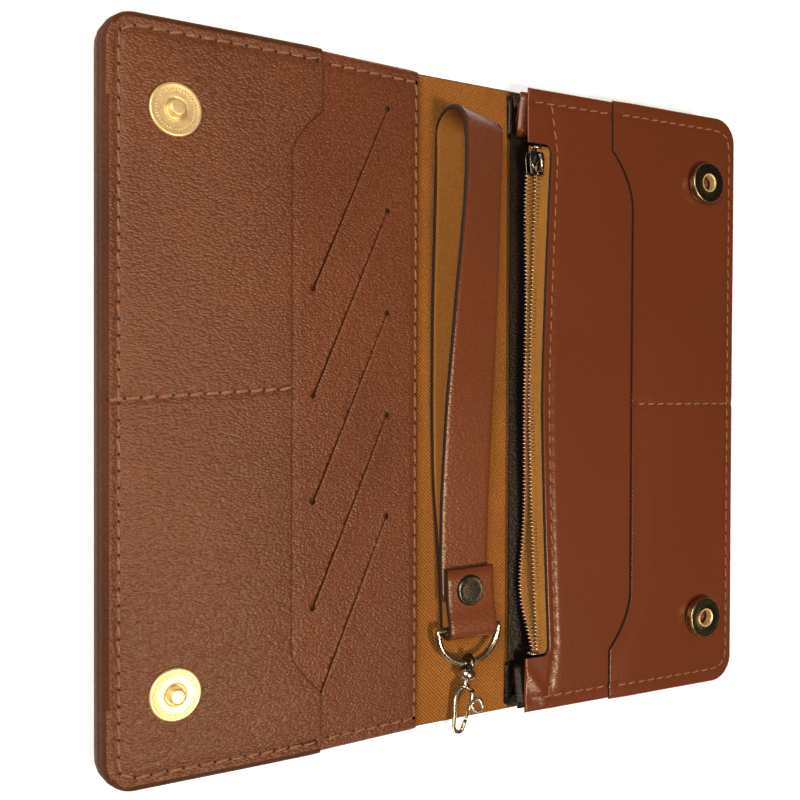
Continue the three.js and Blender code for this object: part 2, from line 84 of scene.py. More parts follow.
def add_area(name, place, target, size, watts, color=(1, 1, 1)):
    data = bpy.data.lights.new(name, "AREA")
    data.shape = "RECTANGLE"
    data.size, data.size_y = size
    data.energy = watts
    data.color = color
    light = bpy.data.objects.new(name, data)
    light.location = place
    light.rotation_euler = (Vector(target) - Vector(place)).to_track_quat("-Z", "Y").to_euler()
    scene.collection.objects.link(light)


def add_studio():
    """A dim room that is bright at the horizon, a broad light from the camera's side,
    and a small softbox that lays a sheen on the near corner of the front cover."""
    world = bpy.data.worlds.new("studio")
    world.use_nodes = True
    tree = world.node_tree
    background = tree.nodes["Background"]
    background.inputs["Strength"].default_value = 1.0
    direction = tree.nodes.new("ShaderNodeTexCoord")
    split = tree.nodes.new("ShaderNodeSeparateXYZ")
    height = tree.nodes.new("ShaderNodeMapRange")
    height.inputs["From Min"].default_value = 0.01
    height.inputs["From Max"].default_value = 0.05
    height.inputs["To Min"].default_value = 1.0
    height.inputs["To Max"].default_value = ROOM_LEVEL
    tree.links.new(direction.outputs["Generated"], split.inputs[0])
    tree.links.new(split.outputs["Z"], height.inputs["Value"])
    tree.links.new(height.outputs[0], background.inputs["Color"])
    scene.world = world
    add_area("sheen", (0.13, -0.36, 0.95), (-0.07, -0.05, 0), (0.22, 0.22), 8.6, (1, 0.78, 0.52))
    add_area("fill", (-0.52, 0.16, 0.55), (0, 0, 0), (0.4, 0.4), 5.0, (1, 0.88, 0.70))
    bpy.ops.mesh.primitive_plane_add(size=30, location=(0, 0, -0.0002))
    floor = bpy.context.object
    floor.name = "floor"
    paper = bpy.data.materials.new("floor_paper")
    paper.use_nodes = True
    shader = paper.node_tree.nodes["Principled BSDF"]
    shader.inputs["Base Color"].default_value = (0.80, 0.87, 1.0, 1)
    shader.inputs["Emission Color"].default_value = (1, 1, 1, 1)
    shader.inputs["Emission Strength"].default_value = 0.4
    shader.inputs["Roughness"].default_value = 0.9
    floor.data.materials.append(paper)


add_camera()
add_studio()


# ---------------------------------------------------------------- materials


class Shader:
    """One Principled material and short calls for the nodes that feed it."""

    def __init__(self, name, roughness, metallic=0.0):
        self.material = bpy.data.materials.new(name)
        self.material.use_nodes = True
        self.tree = self.material.node_tree
        self.principled = self.tree.nodes["Principled BSDF"]
        self.principled.inputs["Roughness"].default_value = roughness
        self.principled.inputs["Metallic"].default_value = metallic
        self.place = self.node("ShaderNodeTexCoord").outputs["Object"]

    def node(self, kind, settings=None, **inputs):
        made = self.tree.nodes.new(kind)
        for key, value in (settings or {}).items():
            setattr(made, key, value)
        for key, value in inputs.items():
            socket = made.inputs[int(key[1:])] if key[0] == "i" and key[1:].isdigit() else made.inputs[key]
            if isinstance(value, bpy.types.NodeSocket):
                self.tree.links.new(value, socket)
            else:
                socket.default_value = value
        return made

    def math(self, operation, a, b=0.0, clamp=False):
        made = self.node("ShaderNodeMath", {"operation": operation, "use_clamp": clamp}, i0=a, i1=b)
        return made.outputs[0]

    def plus(self, a, b):
        return self.math("ADD", a, b)

    def times(self, a, b, clamp=False):
        return self.math("MULTIPLY", a, b, clamp)

    def stretch(self, scale, turn=0.0):
        made = self.node("ShaderNodeMapping", Vector=self.place, Scale=scale, Rotation=(0, 0, turn))
        return made.outputs[0]

    def noise(self, scale, detail=2.0, rough=0.5, place=None):
        kind = "ShaderNodeTexNoise"
        made = self.node(kind, Vector=place or self.place, Scale=scale, Detail=detail, Roughness=rough)
        return made.outputs["Fac"]

    def ramp(self, value, low, high, out_low=0.0, out_high=1.0):
        made = self.node("ShaderNodeMapRange", Value=value)
        made.inputs["From Min"].default_value = low
        made.inputs["From Max"].default_value = high
        made.inputs["To Min"].default_value = out_low
        made.inputs["To Max"].default_value = out_high
        return made.outputs[0]

    def blend(self, factor, a, b):
        made = self.node("ShaderNodeMix", {"data_type": "RGBA"})
        self.tree.links.new(factor, made.inputs["Factor"])
        for socket, value in ((made.inputs[6], a), (made.inputs[7], b)):
            if isinstance(value, bpy.types.NodeSocket):
                self.tree.links.new(value, socket)
            else:
                socket.default_value = (*value, 1)
        return made.outputs[2]

    def color(self, value):
        self.tree.links.new(value, self.principled.inputs["Base Color"])

    def rough(self, value):
        self.tree.links.new(value, self.principled.inputs["Roughness"])

    def bump(self, height, depth, strength=1.0):
        made = self.node("ShaderNodeBump", Height=height, Strength=strength, Distance=depth)
        self.tree.links.new(made.outputs[0], self.principled.inputs["Normal"])


def leather(name, deep, pale, grain=1.0, pitch=0.6, roughness=0.4, specular=0.4):
    """Pebbles drawn out across X with fine creases between them, and slow colour drift; the colour is
    darkened in the pebbles' hollows and lightened on their tops as painted shade and painted highlight.
    pitch is a pebble's width in millimetres, and grain how deep the pebbles are and how strong that painted
    shade is."""
    s = Shader(name, roughness=roughness)
    s.principled.inputs["Specular IOR Level"].default_value = specular
    bend = s.node("ShaderNodeTexNoise", Vector=s.place, Scale=420, Detail=2)
    shift = s.node("ShaderNodeVectorMath", {"operation": "MULTIPLY_ADD"}, i0=bend.outputs["Color"])
    shift.inputs[1].default_value = (0.0007, 0.0007, 0.0007)
    s.tree.links.new(s.place, shift.inputs[2])
    drawn = s.node("ShaderNodeMapping", Vector=shift.outputs[0], Rotation=(0, 0, 0.12))
    drawn.inputs["Scale"].default_value = (0.55, 1.0, 0.8)
    cells = s.node("ShaderNodeTexVoronoi", {"feature": "SMOOTH_F1"}, Vector=drawn.outputs[0])
    cells.inputs["Scale"].default_value = 900 / pitch
    cells.inputs["Smoothness"].default_value = 0.3
    fine = s.noise(2200 / pitch)
    pebble = s.ramp(cells.outputs["Distance"], 0.0, 0.95, 1.0, 0.0)
    height = s.plus(pebble, s.times(fine, 0.35))
    drift = s.ramp(s.noise(22), 0.3, 0.7)
    body = s.blend(drift, deep, pale)
    # painted shade and painted highlight: the colour darkens in the pebbles' hollows and lightens on their
    # tops
    hollow = s.ramp(pebble, 0.1, 0.75, 1.0 - 0.3 * grain, 1.0 + 0.1 * grain)
    shade = s.node("ShaderNodeMix", {"data_type": "RGBA", "blend_type": "MULTIPLY"})
    shade.inputs["Factor"].default_value = 1.0
    s.tree.links.new(body, shade.inputs[6])
    s.tree.links.new(hollow, shade.inputs[7])
    s.color(shade.outputs[2])
    vary = 0.02 * grain
    s.rough(s.ramp(s.noise(90, detail=3), 0.25, 0.75, roughness - vary, roughness + vary))
    s.bump(height, 0.00048 * grain * pitch, strength=0.95)
    return s.material


def twill(name, light, dark, pitch):
    """A two-over-two twill: each thread is round in section and steps one along per row. The warp floats are
    coloured lighter than the weft floats, and each warp float's colour falls off from its crown to its edges
    as painted shade on the round thread.
    """
    s = Shader(name, roughness=0.9)
    threads_per_metre = 1000 / pitch
    split = s.node("ShaderNodeSeparateXYZ", Vector=s.stretch([threads_per_metre] * 3))
    wobble = s.times(s.math("SUBTRACT", s.noise(350), 0.5), 0.9)
    u = s.plus(split.outputs[0], wobble)
    v = s.plus(split.outputs[1], wobble)
    step = s.math("MODULO", s.plus(s.math("FLOOR", u), s.math("FLOOR", v)), 4.0)
    step = s.math("MODULO", s.plus(step, 4.0), 4.0)
    warp_up = s.math("LESS_THAN", step, 1.5)
    round_u = s.math("SINE", s.times(s.math("FRACT", u), math.pi))
    round_v = s.math("SINE", s.times(s.math("FRACT", v), math.pi))
    warp = s.times(round_u, warp_up)
    weft = s.times(round_v, s.math("SUBTRACT", 1.0, warp_up))
    height = s.plus(warp, s.times(weft, 0.75))
    fibres = s.ramp(s.noise(2600), 0.2, 0.8, 0.6, 1.25)
    # painted shade: the warp's colour follows its round section, lightest on the crown
    shaded_tone = s.times(s.plus(s.times(warp, 0.75), 0.2), fibres)
    soiled = s.ramp(s.noise(40, detail=3), 0.35, 0.7, 0.75, 1.05)
    speckle = s.ramp(s.noise(1300), 0.3, 0.7, 0.72, 1.28)
    shaded_tone = s.times(shaded_tone, speckle)
    s.color(s.blend(s.times(shaded_tone, soiled, clamp=True), dark, light))
    s.bump(height, 0.00018, strength=0.9)
    return s.material


def metal(name, bright, dull, roughness, tarnish=0.5, metallic=1.0):
    """Plated metal: tarnish clouds and fine random scratches."""
    s = Shader(name, roughness=roughness, metallic=metallic)
    clouds = s.ramp(s.noise(700, detail=4, rough=0.65), 0.42, 0.7, 0.0, tarnish)
    s.color(s.blend(clouds, bright, dull))
    s.rough(s.ramp(s.noise(2500, detail=3), 0.3, 0.7, roughness * 0.75, roughness * 1.3))
    scratches = s.noise(1.0, place=s.stretch((600, 9000, 4000), turn=0.6))
    s.bump(scratches, 0.00002, strength=0.5)
    return s.material


def spun_thread(name, light, dark):
    """Sewing thread with a slanting twist and a soft sheen."""
    s = Shader(name, roughness=0.75)
    s.principled.inputs["Sheen Weight"].default_value = 0.3
    twist = s.node("ShaderNodeTexWave", Vector=s.stretch((1, 1, 1), turn=0.6), Scale=900, Distortion=1.5)
    s.color(s.blend(s.ramp(s.noise(1500), 0.3, 0.7), dark, light))
    s.bump(twist.outputs["Fac"], 0.00012, strength=0.8)
    return s.material


def matte(name, low, high, scale=900, depth=0.0001):
    """A dull, slightly rough surface that drifts between two colours."""
    s = Shader(name, roughness=0.85)
    grain = s.noise(scale, detail=4, rough=0.6)
    s.color(s.blend(s.ramp(grain, 0.3, 0.7), low, high))
    s.bump(grain, depth, strength=0.7)
    return s.material


COVER = leather(
    "cover_leather", (0.122, 0.037, 0.0150), (0.148, 0.046, 0.0185), pitch=0.5, roughness=0.37
)
# Darker copy of the cover leather for side walls and rolled borders: partly edge paint, partly painted shade
# on faces that turn away from the top
WALL_PAINT_AND_SHADE = leather(
    "cover_wall_paint_and_shade",
    (0.062, 0.021, 0.0085),
    (0.082, 0.028, 0.011),
    grain=0.6,
    roughness=0.55,
    specular=0.12,
)
CARD = leather(
    "card_leather", (0.124, 0.035, 0.0135), (0.152, 0.044, 0.0170), grain=0.9, pitch=0.46, roughness=0.35
)
PANEL = leather(
    "panel_leather", (0.122, 0.0295, 0.0103), (0.130, 0.0315, 0.011), grain=0.15, roughness=0.28
)
STRAP = leather(
    "strap_leather_brown", (0.138, 0.038, 0.0145), (0.152, 0.043, 0.0165), grain=0.35, roughness=0.3
)
# Black leather made near-black so it also stands in for the shade inside the compartments: real colour and
# painted shade
BLACK_AND_SHADE = leather(
    "black_leather_and_painted_shade", (0.004, 0.0024, 0.0016), (0.009, 0.005, 0.003), grain=0.5, roughness=0.45
)
CANVAS = twill("lining_twill", (0.70, 0.272, 0.036), (0.100, 0.030, 0.004), pitch=0.29)
TAPE = twill("zip_tape_weave", (0.66, 0.31, 0.055), (0.22, 0.09, 0.015), pitch=0.26)
THREAD = spun_thread("stitch_thread", (0.38, 0.168, 0.084), (0.16, 0.06, 0.028))
SUEDE = matte("strap_back", (0.30, 0.115, 0.018), (0.44, 0.18, 0.03), scale=1500, depth=0.00012)
# painted shade: near-black discs that stand for the shade inside the needle holes
HOLE_SHADE = matte("needle_hole_painted_shade", (0.022, 0.008, 0.004), (0.045, 0.016, 0.007))
EDGE = matte("painted_edge", (0.012, 0.006, 0.004), (0.045, 0.018, 0.010), scale=1800)
FOAM = matte("padding_foam", (0.5, 0.45, 0.38), (0.65, 0.6, 0.52))
GOLD = metal("gold_plate", (0.86, 0.67, 0.37), (0.66, 0.47, 0.22), 0.38, tarnish=0.35, metallic=0.6)
BRONZE = metal("bronze_plate", (0.42, 0.33, 0.17), (0.12, 0.10, 0.05), 0.3, tarnish=0.6)
BACKING = matte("slot_backing", (0.020, 0.009, 0.004), (0.05, 0.02, 0.009), scale=1500)
ANTIQUE = metal("antique_plate", (0.16, 0.135, 0.075), (0.05, 0.045, 0.03), 0.28, tarnish=0.7)
GUNMETAL = metal("gunmetal", (0.17, 0.155, 0.125), (0.05, 0.045, 0.035), 0.25, tarnish=0.5)
NICKEL = metal("aged_nickel", (0.62, 0.56, 0.45), (0.22, 0.18, 0.12), 0.22, tarnish=0.6)
TEETH = metal("zip_teeth_metal", (0.52, 0.42, 0.31), (0.13, 0.095, 0.06), 0.34, tarnish=0.6)


# ---------------------------------------------------------------- mesh tools


def mesh_object(name, verts, faces, materials, smooth=True):
    """A piece from points in millimetres, with its faces turned outwards."""
    mesh = bpy.data.meshes.new(name)
    mesh.from_pydata([tuple(float(c) * MM for c in v) for v in verts], [], faces)
    work = bmesh.new()
    work.from_mesh(mesh)
    bmesh.ops.recalc_face_normals(work, faces=work.faces)
    work.to_mesh(mesh)
    work.free()
    for face in mesh.polygons:
        face.use_smooth = smooth
    for material in materials if isinstance(materials, (list, tuple)) else [materials]:
        mesh.materials.append(material)
    piece = bpy.data.objects.new(name, mesh)
    scene.collection.objects.link(piece)
    return piece


def fit(piece, body, slot, *nodes):
    """The piece moves with a body and stands for CAD nodes, which are hidden; slot is not used."""
    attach(piece, body)
    if nodes:
        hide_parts(*nodes)
    return piece


def corners(node):
    """A CAD node's lowest and highest corner in millimetres."""
    low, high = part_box(node)
    return np.array(low) / MM, np.array(high) / MM


def paint(piece, test, index=1):
    """Gives another of the piece's materials to each face whose centre passes a test."""
    for face in piece.data.polygons:
        if test(*(face.center / MM)):
            face.material_index = index


def rounded_stations(low, high, step, radius, fine=5):
    """Places from low to high, close together over the rounded edge at each end."""
    edge = [radius * (1 - math.cos(math.pi / 2 * i / fine)) for i in range(fine + 1)]
    inner = max(2, round((high - low - 2 * radius) / step))
    middle = np.linspace(low + radius, high - radius, inner + 1)[1:-1]
    return np.array([low + e for e in edge] + list(middle) + [high - e for e in reversed(edge)])


def grid_faces(rows, cols, base, flip=False):
    """The quads between neighbouring points of a grid whose first point is base."""
    faces = []
    for r in range(rows - 1):
        for c in range(cols - 1):
            a = base + r * cols + c
            quad = (a, a + 1, a + cols + 1, a + cols)
            faces.append(quad[::-1] if flip else quad)
    return faces


def slab(name, x, y, top, bottom, materials):
    """A closed sheet: two grids over the same points, joined round their border."""
    rows, cols = x.shape
    count = rows * cols
    upper = np.stack([x, y, top], -1).reshape(-1, 3)
    lower = np.stack([x, y, bottom], -1).reshape(-1, 3)
    faces = grid_faces(rows, cols, 0) + grid_faces(rows, cols, count, flip=True)
    border = list(range(cols))
    border += [r * cols + cols - 1 for r in range(1, rows)]
    border += [(rows - 1) * cols + c for c in range(cols - 2, -1, -1)]
    border += [r * cols for r in range(rows - 2, 0, -1)]
    for i, a in enumerate(border):
        b = border[(i + 1) % len(border)]
        faces.append((a, b, b + count, a + count))
    return mesh_object(name, np.concatenate([upper, lower]), faces, materials)


def sheet_grid(left, right, half, step, radius):
    """Points that fill the space between two edges given as functions of y."""
    y = rounded_stations(-half, half, step, radius)
    width = right(0.0) - left(0.0)
    across = rounded_stations(0, width, step, radius) / width
    low = np.array([left(v) for v in y])[:, None]
    high = np.array([right(v) for v in y])[:, None]
    x = low + (high - low) * across[None, :]
    return x, np.repeat(y[:, None], len(across), 1)


def corner_inset(y, half, radius):
    """How far a rounded corner has come in at height y."""
    into = np.clip(np.abs(y) - (half - radius), 0, radius)
    return radius - np.sqrt(np.maximum(radius**2 - into**2, 0))


def outline_distance(x, y, edge_x, side, half, radius):
    """Distance inwards from a cover's outline with two rounded corners at edge_x."""
    from_side = side * (edge_x - x)
    from_end = half - np.abs(y)
    near = np.hypot(np.minimum(from_side - radius, 0), np.minimum(from_end - radius, 0))
    in_corner = (from_side < radius) & (from_end < radius)
    return np.where(in_corner, radius - near, np.minimum(from_side, from_end))


def round_over(distance, radius):
    """Drop of a rounded edge, radius at the border and nothing further in."""
    into = np.clip(radius - distance, 0, radius)
    return radius - np.sqrt(np.maximum(radius**2 - into**2, 0))


def valley(distance, width):
    """1 on a line, falling smoothly to nothing about two widths away."""
    return np.exp(-((distance / width) ** 2))


def ripple(x, y, amount):
    """A slow, uneven rise and fall, as soft leather has."""
    swell = np.sin(x / 11 + 0.7 * np.sin(y / 19)) * np.sin(y / 23 + 1.3)
    return amount * (swell + 0.5 * np.sin(x / 7 - y / 31 + 2))


def resample(points, pitch):
    """Points a whole number of pitches apart along a line."""
    points = np.array(points, float)
    lengths = np.r_[0, np.cumsum(np.linalg.norm(np.diff(points, axis=0), axis=1))]
    count = max(1, round(lengths[-1] / pitch))
    at = np.linspace(0, lengths[-1], count + 1)
    return np.stack([np.interp(at, lengths, points[:, k]) for k in range(points.shape[1])], 1)


def rounded_path(points, radius):
    """A polyline with its corners turned on an arc-like curve."""
    points = [np.array(p, float) for p in points]
    path = [points[0]]
    for before, corner, after in zip(points, points[1:], points[2:]):
        into = corner + (before - corner) / np.linalg.norm(before - corner) * radius
        out = corner + (after - corner) / np.linalg.norm(after - corner) * radius
        for t in np.linspace(0, 1, 6):
            path.append((1 - t) ** 2 * into + 2 * t * (1 - t) * corner + t**2 * out)
    path.append(points[-1])
    return path


STITCH_PITCH = 4.3
STITCH_SLANT = 0.08  # how far a thread turns from its run, as a share of its length
THREAD_GAP = 0.42  # from a hole's middle to the thread's end
THREAD_ARCH = 0.34  # how far a thread's middle stands above its ends
THREAD_SUNK = 0.16  # how deep its ends lie
PUCKER_REACH = 1.1  # radius of the dimple round a needle hole


def tube_mesh(path, radii, sides, verts, faces, flat=1.0, up=(0, 0, 1), closed=False):
    """Adds a tube with an oval section along a path to lists of points and faces."""
    path = np.array(path, float)
    count = len(path)
    base = len(verts)
    up = np.array(up, float)
    for i, point in enumerate(path):
        ahead = path[(i + 1) % count] if closed else path[min(i + 1, count - 1)]
        behind = path[(i - 1) % count] if closed else path[max(i - 1, 0)]
        along = (ahead - behind) / max(np.linalg.norm(ahead - behind), 1e-9)
        side = np.cross(along, up)
        side /= max(np.linalg.norm(side), 1e-9)
        lift = np.cross(side, along)
        radius = radii[i] if hasattr(radii, "__len__") else radii
        for k in range(sides):
            angle = 2 * math.pi * k / sides
            verts.append(point + radius * (math.cos(angle) * side + flat * math.sin(angle) * lift))
    rings = count if closed else count - 1
    for i in range(rings):
        for k in range(sides):
            a = base + i * sides + k
            b = base + i * sides + (k + 1) % sides
            c = base + ((i + 1) % count) * sides + (k + 1) % sides
            d = base + ((i + 1) % count) * sides + k
            faces.append((a, b, c, d))
    if not closed:
        faces.append(tuple(base + k for k in range(sides))[::-1])
        faces.append(tuple(base + (count - 1) * sides + k for k in range(sides)))


def sew(name, runs, surface, body, seed, pitch=STITCH_PITCH, thick=0.34, hole=0.5):
    """Threads from hole to hole along each run, lying on a surface, and a dark disc of painted shade at each
    hole.
    """
    random = np.random.default_rng(seed)
    verts, faces, hole_verts, hole_faces = [], [], [], []
    for run in runs:
        points = resample(run, pitch)
        for a, b in zip(points, points[1:]):
            along = (b - a) / np.linalg.norm(b - a)
            side = np.array([-along[1], along[0]])
            shift = side * (STITCH_SLANT * pitch / 2 + random.normal(0, 0.06))
            start, end = a + along * THREAD_GAP - shift, b - along * THREAD_GAP + shift
            path, radii = [], []
            for t in np.linspace(0, 1, 7):
                spot = start + (end - start) * t
                arch = THREAD_ARCH * math.sin(math.pi * t) ** 0.5 - THREAD_SUNK
                path.append([*spot, surface(spot[0], spot[1]) + arch])
                swelling = math.sin(math.pi * min(max(t, 0.06), 0.94)) ** 0.4
                radii.append(thick * (0.45 + 0.55 * swelling))
            tube_mesh(path, radii, 7, verts, faces, flat=0.75)
        # At each hole a dark disc of painted shade, standing in for the shade inside the hole
        for spot in points:
            height = surface(spot[0], spot[1])
            dot = [[*spot, height - 0.5], [*spot, height + 0.03]]
            tube_mesh(dot, [hole, hole], 10, hole_verts, hole_faces, up=(0, 1, 0))
    slot = "red_leather" if body == "pouch" else "brown_leather"
    fit(mesh_object(f"{name}_thread", verts, faces, THREAD), body, slot)
    # The dark discs are painted shade standing for the holes' insides
    fit(mesh_object(f"{name}_needle_holes", hole_verts, hole_faces, HOLE_SHADE), body, slot)


def pucker(x, y, runs, depth):
    """The dimples that the needle leaves along each run."""
    dip = np.zeros_like(x)
    for run in runs:
        for spot in resample(run, STITCH_PITCH):
            dx, dy = x - spot[0], y - spot[1]
            near = (np.abs(dx) < 4 * PUCKER_REACH) & (np.abs(dy) < 4 * PUCKER_REACH)
            dip[near] += np.exp(-(dx[near] ** 2 + dy[near] ** 2) / PUCKER_REACH**2)
    return depth * np.clip(dip, 0, 1.2)


# ---------------------------------------------------------------- sizes from the frame

front_low, front_high = corners("front_cover_leather")
rear_low, rear_high = corners("rear_cover_leather")
pocket_low, pocket_high = corners("front_pocket")
card_low, card_high = corners("card_panel")
panel_low, panel_high = corners("pouch_front_panel")
spine_high = corners("spine_leather")[1]

HALF = front_high[1]  # half the wallet's length
FRONT_EDGE = front_low[0]
REAR_EDGE = rear_high[0]
CORNER = 9.0  # radius of the covers' corners
LEATHER = spine_high[2]  # thickness of the outer leather
LINING_TOP = corners("spine_lining")[1][2]
POCKET_TOP = pocket_high[2]
POCKET_SHEET = POCKET_TOP - pocket_low[2]
CARD_TOP = card_high[2]
CARD_SHEET = 0.9
CARD_EDGE = card_high[0]
CARD_EDGE_TOP = card_low[2] + CARD_SHEET
CARD_KINK = -58.0  # where the card panel starts to fall towards the spine
REAR_LIFT = rear_high[2] - LEATHER
LIFT_START = 45.0  # where the rear cover starts to rise off the table
PANEL_SHEET = 0.9
SEAM = panel_high[0]
PANEL_EDGE = panel_low[0]
PANEL_TOP_AT_EDGE = panel_low[2] + PANEL_SHEET
PANEL_TOP_AT_SEAM = panel_high[2]
SNAP_X, SNAP_Y = 93.6, 75.7  # the snaps' distance from the middle
SNAP_REST = 6.5  # inside this radius the leather lies flat under a snap
BORDER = 4.5  # from the outline to the stitches


def rear_floor(x):
    """Height of the rear cover's underside, which curls up towards its outer edge."""
    along = np.clip((x - LIFT_START) / (REAR_EDGE - LIFT_START), 0, None)
    return REAR_LIFT * along**2


def card_plane(x):
    """The card panel's top before its stitches and ripples."""
    along = np.clip((x - CARD_KINK) / (CARD_EDGE - CARD_KINK), 0, 1)
    return CARD_TOP - (CARD_TOP - CARD_EDGE_TOP) * along


def panel_plane(x):
    """The pouch front's top before its stitches and ripples."""
    along = (x - PANEL_EDGE) / (SEAM - PANEL_EDGE)
    return PANEL_TOP_AT_EDGE + (PANEL_TOP_AT_SEAM - PANEL_TOP_AT_EDGE) * along


# ---------------------------------------------------------------- front cover


def front_distance(x, y):
    """Distance inwards from the front cover's outline."""
    return outline_distance(x, y, FRONT_EDGE, -1, HALF, CORNER)


MOUTH_X, MOUTH_DIP = -60.2, 9.2  # the mouth's line in its dip, and how far its ends stand out
MOUTH_DIP_HALF, MOUTH_TURN = 69.5, 12.5  # half the dip's length, and the curve's up to the ends


def pocket_mouth(y):
    """Straight at both ends, curving into a shallow dip between them."""
    share = np.clip((np.abs(y) - MOUTH_DIP_HALF) / MOUTH_TURN, 0, 1)
    return MOUTH_X + MOUTH_DIP * share**1.5


CENTRE_RUN = [(-110.6, 1.0), (-60.4, 4.0)]
SPINE_STITCH_X = CARD_EDGE - 1.6
OUTER_STITCH_X = FRONT_EDGE + BORDER + 0.2
TOP_STITCH_Y, LOW_STITCH_Y = HALF - BORDER + 0.3, BORDER - 0.3 - HALF
FRONT_RUN = rounded_path(
    [
        (SPINE_STITCH_X, TOP_STITCH_Y),
        (OUTER_STITCH_X, TOP_STITCH_Y),
        (OUTER_STITCH_X, LOW_STITCH_Y),
        (SPINE_STITCH_X, LOW_STITCH_Y),
    ],
    3.0,
)
FRONT_SEAM = [(SPINE_STITCH_X, LOW_STITCH_Y), (SPINE_STITCH_X, TOP_STITCH_Y)]


def split_run(run, keep):
    """The stretches of a run whose points pass a test."""
    points = resample(run, STITCH_PITCH)
    stretches, current = [], []
    for point in points:
        if keep(*point):
            current.append(point)
        elif current:
            stretches.append(current)
            current = []
    if current:
        stretches.append(current)
    return [s for s in stretches if len(s) > 1]


def on_pocket(x, y):
    return x < pocket_mouth(y) - 1


def pocket_surface(x, y):
    """The outer pocket's face: crowned, pinched at the stitches, rolled at the outline."""
    x, y = np.asarray(x, float), np.asarray(y, float)
    inward = front_distance(x, y)
    height = POCKET_TOP + 0.25 - 0.55 * np.exp(-inward / 9)
    height = height - 0.38 * valley(inward - BORDER, 0.9)
    height = height + 0.15 * valley(inward - BORDER + 2.2, 1.3)
    seam_y = np.interp(x, *zip(*CENTRE_RUN))
    height = height - 0.4 * valley(y - seam_y, 1.1)
    for side in (-1, 1):
        from_snap = np.hypot(x + SNAP_X, y - side * SNAP_Y)
        height = height - 0.18 * valley(np.maximum(from_snap - SNAP_REST, 0), 1.6)
    return height + ripple(x, y, 0.1)


def card_surface(x, y):
    """The card panel's face: drawn down along its stitches, and a little uneven."""
    x, y = np.asarray(x, float), np.asarray(y, float)
    inward = np.minimum(front_distance(x, y), CARD_EDGE - x + BORDER - 1.6)
    height = card_plane(x) - 0.3 * valley(inward - BORDER, 0.8)
    return height + ripple(x, y, 0.06)


def build_front_shell():
    """The outer leather from the outer edge to the middle of the spine, turned up
    round the padding along three sides."""

    def left(y):
        return FRONT_EDGE + corner_inset(y, HALF, CORNER)

    y = rounded_stations(-HALF, HALF, 2.5, radius=2.6, fine=7)
    reach = -FRONT_EDGE
    edge = 2.6 * (1 - np.cos(np.linspace(0, math.pi / 2, 8)))
    offsets = np.r_[edge, np.arange(3.4, reach - 22, 3), np.arange(reach - 22, reach, 0.8), reach] / reach
    start = np.array([left(v) for v in y])[:, None]
    x = start * (1 - offsets[None, :])
    y = np.repeat(y[:, None], x.shape[1], 1)
    inward = front_distance(x, y)
    inward = np.where(x > -40, HALF - np.abs(y), inward)
    padded = np.clip((CARD_EDGE + 0.5 - x) / 1.5, 0, 1)
    rim = padded * (card_plane(x) - CARD_SHEET - 0.1 - LEATHER) + LEATHER
    wall = np.clip((2.4 - inward) / 0.5, 0, 1)
    top = LEATHER + (rim - LEATHER) * wall
    soft = np.minimum(2.4, rim * 0.42)
    top = top - np.where(inward < 1.9, round_over(inward, 1.9) / 1.9 * soft, 0)
    bottom = round_over(inward, 2.6) / 2.6 * soft * (0.35 + 0.65 * padded)
    shell = slab("front_cover_shell", x, y, np.maximum(top, bottom + 0.25), bottom, [COVER, WALL_PAINT_AND_SHADE])
    # Steep faces take the darker leather: edge paint and painted shade on the walls
    for face in shell.data.polygons:
        if abs(face.normal.z) < 0.8:
            face.material_index = 1
    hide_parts("front_cover_leather", "spine_leather")
    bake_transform(shell)


def build_front_pocket():
    """The outer flat pocket, its mouth towards the spine, and its two lines of stitches."""
    inset = 0.35
    half = HALF - inset

    def left(v):
        return FRONT_EDGE + inset + corner_inset(v, half, CORNER)

    x, y = sheet_grid(left, pocket_mouth, half, 0.85, radius=1.0)
    inward = front_distance(x, y) - inset
    from_mouth = pocket_mouth(y) - x
    runs = split_run(FRONT_RUN, on_pocket) + [CENTRE_RUN]
    top = pocket_surface(x, y) - pucker(x, y, runs, 0.42)
    top = top - 0.8 * np.exp(-from_mouth / 7)
    bottom = np.minimum(POCKET_TOP - POCKET_SHEET, top - 0.4)
    top = top - round_over(inward, 1.6) * 1.15 - round_over(from_mouth, 0.7) * 0.35
    bottom = bottom - 1.1 * round_over(inward, 1.6) * 0.6
    top = np.maximum(top, bottom + 0.2)
    piece = slab("front_pocket_leather", x, y, top, bottom, [COVER, WALL_PAINT_AND_SHADE])
    # The rolled border takes the darker leather: edge paint and painted shade over the roll
    paint(piece, lambda x, y, z: front_distance(x, y) < 1.9)
    fit(piece, "front_cover", "brown_leather", "front_pocket")

    def stitch_floor(a, b):
        return float(pocket_surface(a, b)) - 0.12

    sew("front_pocket", runs[:-1], stitch_floor, "front_cover", seed=3, hole=0.38)
    sew("front_pocket_middle", runs[-1:], stitch_floor, "front_cover", seed=4, thick=0.5, hole=0.4)


def build_padding():
    """Foam under the card panel: crowned, its sides drawn in between the corners."""
    low, high = corners("front_padding")
    half = high[1]

    def left(v):
        return low[0] + corner_inset(v, half, CORNER) + 0.5 * math.cos(math.pi * v / (2 * half))

    x, y = sheet_grid(left, lambda v: high[0], half, 3.0, radius=1.2)
    inward = np.minimum(np.minimum(x - low[0], high[0] - x), half - np.abs(y))
    ceiling = np.minimum(card_plane(x) - CARD_TOP + high[2], high[2])
    crown = 0.35 * np.exp(-inward / 6)
    soft = round_over(inward, 1.2) * 0.5
    top = np.maximum(ceiling - crown - soft, low[2] + 0.5)
    piece = slab("front_padding_foam", x, y, top, low[2] + soft * 0.6, FOAM)
    fit(piece, "front_cover", "foam", "front_padding")


SLIT_LOWER = (-53.4, 32.0)  # the uppermost slit's two ends
SLIT_UPPER = (-28.6, 86.2)
SLIT_TOOL_TOP = 14  # above every leather of the card panel
SLIT_PITCH = 30.0
SLIT_COUNT = 5


